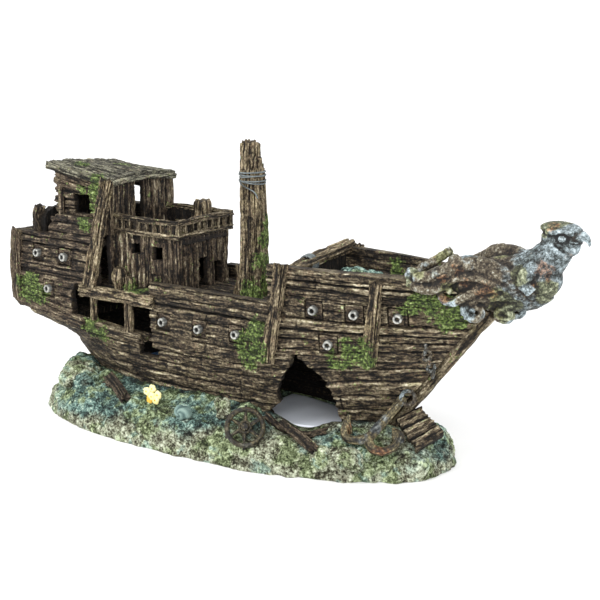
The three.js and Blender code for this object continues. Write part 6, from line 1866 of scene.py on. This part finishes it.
def build_stage(props):
    """A pale floor that curves up behind, key, fill and back lights, an even sky, and the camera, in metres."""
    rows = 40
    t = np.linspace(0, 1, rows)
    depth = np.linspace(-2.2, 3.2, rows)
    rise = np.where(t > 0.55, (t - 0.55) ** 2 * 14, 0.0)
    x = np.linspace(-4, 4, 3)
    points = np.stack([np.repeat(x, rows), np.tile(depth, 3), np.tile(rise, 3)], -1)
    points[:, 2] -= FLOOR_GAP
    mesh = bpy.data.meshes.new("studio_floor")
    mesh.from_pydata(points.tolist(), [], grid_faces(3, rows).tolist())
    mesh.shade_smooth()
    floor = bpy.data.objects.new("studio_floor", mesh)
    floor.rotation_euler = (0, 0, props.azimuth)
    bpy.context.scene.collection.objects.link(floor)
    floor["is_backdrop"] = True
    p = Paint("studio_white")
    p.shader.inputs["Base Color"].default_value = (*props.floor_colour, 1)
    p.shader.inputs["Roughness"].default_value = 0.9
    mesh.materials.append(p.material)
    world = bpy.data.worlds.new("studio_sky")
    world.use_nodes = True
    world.node_tree.nodes["Background"].inputs[0].default_value = (*props.sky_colour, 1)
    world.node_tree.nodes["Background"].inputs[1].default_value = props.sky
    bpy.context.scene.world = world
    bpy.context.scene.view_settings.view_transform = "Standard"
    target = np.array([0.0, 0.0, AIM_Z * MM])
    for name, size, share, place in LIGHTS:
        light = bpy.data.lights.new(name, "AREA")
        light.energy, light.size = props.key * share, size
        lamp = bpy.data.objects.new(name, light)
        lamp.matrix_world = look_from(np.array(place), target)
        bpy.context.scene.collection.objects.link(lamp)
    a, e = props.azimuth, props.elevation
    aim = np.array([(AIM_X + SHIFT_X) * MM, 0, AIM_Z * MM])
    eye = aim + props.distance * np.array([math.sin(a) * math.cos(e), -math.cos(a) * math.cos(e), math.sin(e)])
    lens = bpy.data.cameras.new("view_camera")
    lens.lens, lens.sensor_width = props.lens, SENSOR_WIDTH
    lens.clip_start = 0.01
    camera = bpy.data.objects.new("view_camera", lens)
    camera.matrix_world = look_from(eye, aim)
    bpy.context.scene.collection.objects.link(camera)
    bpy.context.scene.camera = camera


def look_from(eye, aim):
    """The placement of a lamp or camera at eye that looks towards aim, upright."""
    back = (eye - aim) / np.linalg.norm(eye - aim)
    right = np.cross([0, 0, 1.0], back)
    right /= np.linalg.norm(right)
    up = np.cross(back, right)
    rows = [[*col, place] for col, place in zip(np.stack([right, up, back], -1).tolist(), eye.tolist())]
    return Matrix([*rows, [0, 0, 0, 1]])


# ---------------------------------------------------------------- add-on


class SeabedSettings(bpy.types.PropertyGroup):
    """How finely the seabed is built"""

    columns: IntProperty(name="Columns", description="Points round the seabed", default=840, min=60)
    rows: IntProperty(name="Rows", description="Points from the rim to the hull", default=96, min=12)


class HullSettings(bpy.types.PropertyGroup):
    """The ship's timber"""

    furrow: FloatProperty(name="Furrow depth", description="Depth of the wood grain, in millimetres", default=0.55,
                          min=0.0)


class GunSettings(bpy.types.PropertyGroup):
    """The guns"""

    muzzle: FloatProperty(name="Muzzle radius", description="Radius of a gun's muzzle, in millimetres", default=1.9,
                          min=0.2)


class FigureSettings(bpy.types.PropertyGroup):
    """The figurehead"""

    voxel: FloatProperty(name="Voxel",
                         description="Size of the cells that melt the figurehead together, in millimetres", default=0.5,
                         min=0.2)


class StageSettings(bpy.types.PropertyGroup):
    """The camera, the lights and the studio's colours"""

    azimuth: FloatProperty(name="Azimuth", description="Camera's turn from straight abeam", default=math.radians(36),
                           subtype="ANGLE")
    elevation: FloatProperty(name="Elevation", description="Camera's height above the horizon",
                             default=math.radians(13), subtype="ANGLE")
    distance: FloatProperty(name="Distance", description="Camera to the middle of the ship", default=0.6, unit="LENGTH")
    lens: FloatProperty(name="Lens", description="Focal length in millimetres", default=80.16)
    sky: FloatProperty(name="Sky", description="Strength of the surroundings", default=1.0, min=0.0)
    sky_colour: FloatVectorProperty(name="Sky colour", description="Colour of the surroundings",
                                    default=(1.0, 1.0, 1.0), min=0.0, max=1.0, subtype="COLOR")
    floor_colour: FloatVectorProperty(name="Floor colour", description="Colour of the studio floor",
                                      default=(0.92, 0.92, 0.92), min=0.0, max=1.0, subtype="COLOR")
    key: FloatProperty(name="Key light", description="Power of the main light", default=10.5, min=0.0, unit="POWER")


class WRECK_OT_seabed(bpy.types.Operator):
    """Builds the ring of rock that the wreck stands on"""

    bl_idname = "wreck.seabed"
    bl_label = "Rocky seabed"
    bl_options = {"REGISTER", "UNDO"}

    def execute(self, context):
        build_seabed(context.scene.wreck_seabed)
        return {"FINISHED"}


class WRECK_OT_reef_items(bpy.types.Operator):
    """Builds boulders, coral, anemone, shell and driftwood"""

    bl_idname = "wreck.reef_items"
    bl_label = "Things on the seabed"
    bl_options = {"REGISTER", "UNDO"}

    def execute(self, context):
        build_reef_items(context.scene.wreck_seabed)
        return {"FINISHED"}


class WRECK_OT_lower_hull(bpy.types.Operator):
    """Builds the hull planking, the stem and the sternpost"""

    bl_idname = "wreck.lower_hull"
    bl_label = "Lower hull"
    bl_options = {"REGISTER", "UNDO"}

    def execute(self, context):
        build_lower_hull(context.scene.wreck_hull)
        return {"FINISHED"}


class WRECK_OT_upper_sides(bpy.types.Operator):
    """Builds the castle, waist and bow sides and their frames"""

    bl_idname = "wreck.upper_sides"
    bl_label = "Upper sides"
    bl_options = {"REGISTER", "UNDO"}

    def execute(self, context):
        build_upper_sides(context.scene.wreck_hull)
        return {"FINISHED"}


class WRECK_OT_guns(bpy.types.Operator):
    """Builds the gun plates and muzzles"""

    bl_idname = "wreck.guns"
    bl_label = "Guns"
    bl_options = {"REGISTER", "UNDO"}

    def execute(self, context):
        build_guns(context.scene.wreck_guns)
        return {"FINISHED"}


class WRECK_OT_decks(bpy.types.Operator):
    """Builds the decks, transom, counter and bulkhead"""

    bl_idname = "wreck.decks"
    bl_label = "Decks and bulkheads"
    bl_options = {"REGISTER", "UNDO"}

    def execute(self, context):
        build_decks(context.scene.wreck_hull)
        return {"FINISHED"}


class WRECK_OT_gallery(bpy.types.Operator):
    """Builds the broken gallery in the starboard quarter"""

    bl_idname = "wreck.gallery"
    bl_label = "Gallery"
    bl_options = {"REGISTER", "UNDO"}

    def execute(self, context):
        build_gallery(context.scene.wreck_hull)
        return {"FINISHED"}


class WRECK_OT_cabins(bpy.types.Operator):
    """Builds the cabins, roof, balustrade and bitts"""

    bl_idname = "wreck.cabins"
    bl_label = "Cabins"
    bl_options = {"REGISTER", "UNDO"}

    def execute(self, context):
        build_cabins(context.scene.wreck_hull)
        return {"FINISHED"}


class WRECK_OT_mast(bpy.types.Operator):
    """Builds the mast stump, the beam and their lashings"""

    bl_idname = "wreck.mast"
    bl_label = "Mast and beam"
    bl_options = {"REGISTER", "UNDO"}

    def execute(self, context):
        build_mast(context.scene.wreck_hull)
        return {"FINISHED"}


class WRECK_OT_figurehead(bpy.types.Operator):
    """Builds the eagle figurehead and the bow chain"""

    bl_idname = "wreck.figurehead"
    bl_label = "Figurehead"
    bl_options = {"REGISTER", "UNDO"}

    def execute(self, context):
        build_figurehead(context.scene.wreck_figure)
        return {"FINISHED"}


class WRECK_OT_ironwork(bpy.types.Operator):
    """Builds the ship's wheel, the anchor and its ring"""

    bl_idname = "wreck.ironwork"
    bl_label = "Wheel and anchor"
    bl_options = {"REGISTER", "UNDO"}

    def execute(self, context):
        build_ironwork(context.scene.wreck_hull)
        return {"FINISHED"}


class WRECK_OT_air_set(bpy.types.Operator):
    """Builds the air nipple, pipe and stone"""

    bl_idname = "wreck.air_set"
    bl_label = "Air set"
    bl_options = {"REGISTER", "UNDO"}

    def execute(self, context):
        build_air_set(context.scene.wreck_hull)
        return {"FINISHED"}


class WRECK_OT_stage(bpy.types.Operator):
    """Builds the floor, the lights and the camera"""

    bl_idname = "wreck.stage"
    bl_label = "Stage"
    bl_options = {"REGISTER", "UNDO"}

    def execute(self, context):
        build_stage(context.scene.wreck_stage)
        return {"FINISHED"}


SETTINGS = {
    "seabed": SeabedSettings,
    "hull": HullSettings,
    "guns": GunSettings,
    "figure": FigureSettings,
    "stage": StageSettings,
}
# In the order in which they are called.
OPERATORS = (
    WRECK_OT_seabed,
    WRECK_OT_reef_items,
    WRECK_OT_lower_hull,
    WRECK_OT_upper_sides,
    WRECK_OT_guns,
    WRECK_OT_decks,
    WRECK_OT_gallery,
    WRECK_OT_cabins,
    WRECK_OT_mast,
    WRECK_OT_figurehead,
    WRECK_OT_ironwork,
    WRECK_OT_air_set,
    WRECK_OT_stage,
)


class WRECK_PT_panel(bpy.types.Panel):
    """Lists the steps that build the ornament, with their settings"""

    bl_label = "Shipwreck Ornament"
    bl_space_type = "VIEW_3D"
    bl_region_type = "UI"
    bl_category = "Wreck"

    def draw(self, context):
        for key, group in SETTINGS.items():
            box = self.layout.box()
            for name in group.__annotations__:
                box.prop(getattr(context.scene, f"wreck_{key}"), name)
        for operator in OPERATORS:
            self.layout.operator(operator.bl_idname)


def register():
    for group in SETTINGS.values():
        bpy.utils.register_class(group)
    for operator in OPERATORS:
        bpy.utils.register_class(operator)
    bpy.utils.register_class(WRECK_PT_panel)
    for key, group in SETTINGS.items():
        setattr(bpy.types.Scene, f"wreck_{key}", PointerProperty(type=group))


def unregister():
    for key in SETTINGS:
        delattr(bpy.types.Scene, f"wreck_{key}")
    for made in (WRECK_PT_panel, *OPERATORS, *SETTINGS.values()):
        bpy.utils.unregister_class(made)


def main():
    """Builds the whole ornament and its stage, and measures both bounding boxes."""
    register()
    for operator in OPERATORS:
        getattr(bpy.ops.wreck, operator.bl_idname.partition(".")[2])()
    sizes = {"cad": CAD_BOX, "visual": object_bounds()}
    {key: [[float(v) for v in corner] for corner in box] for key, box in sizes.items()}


if __name__ == "__main__":
    main()
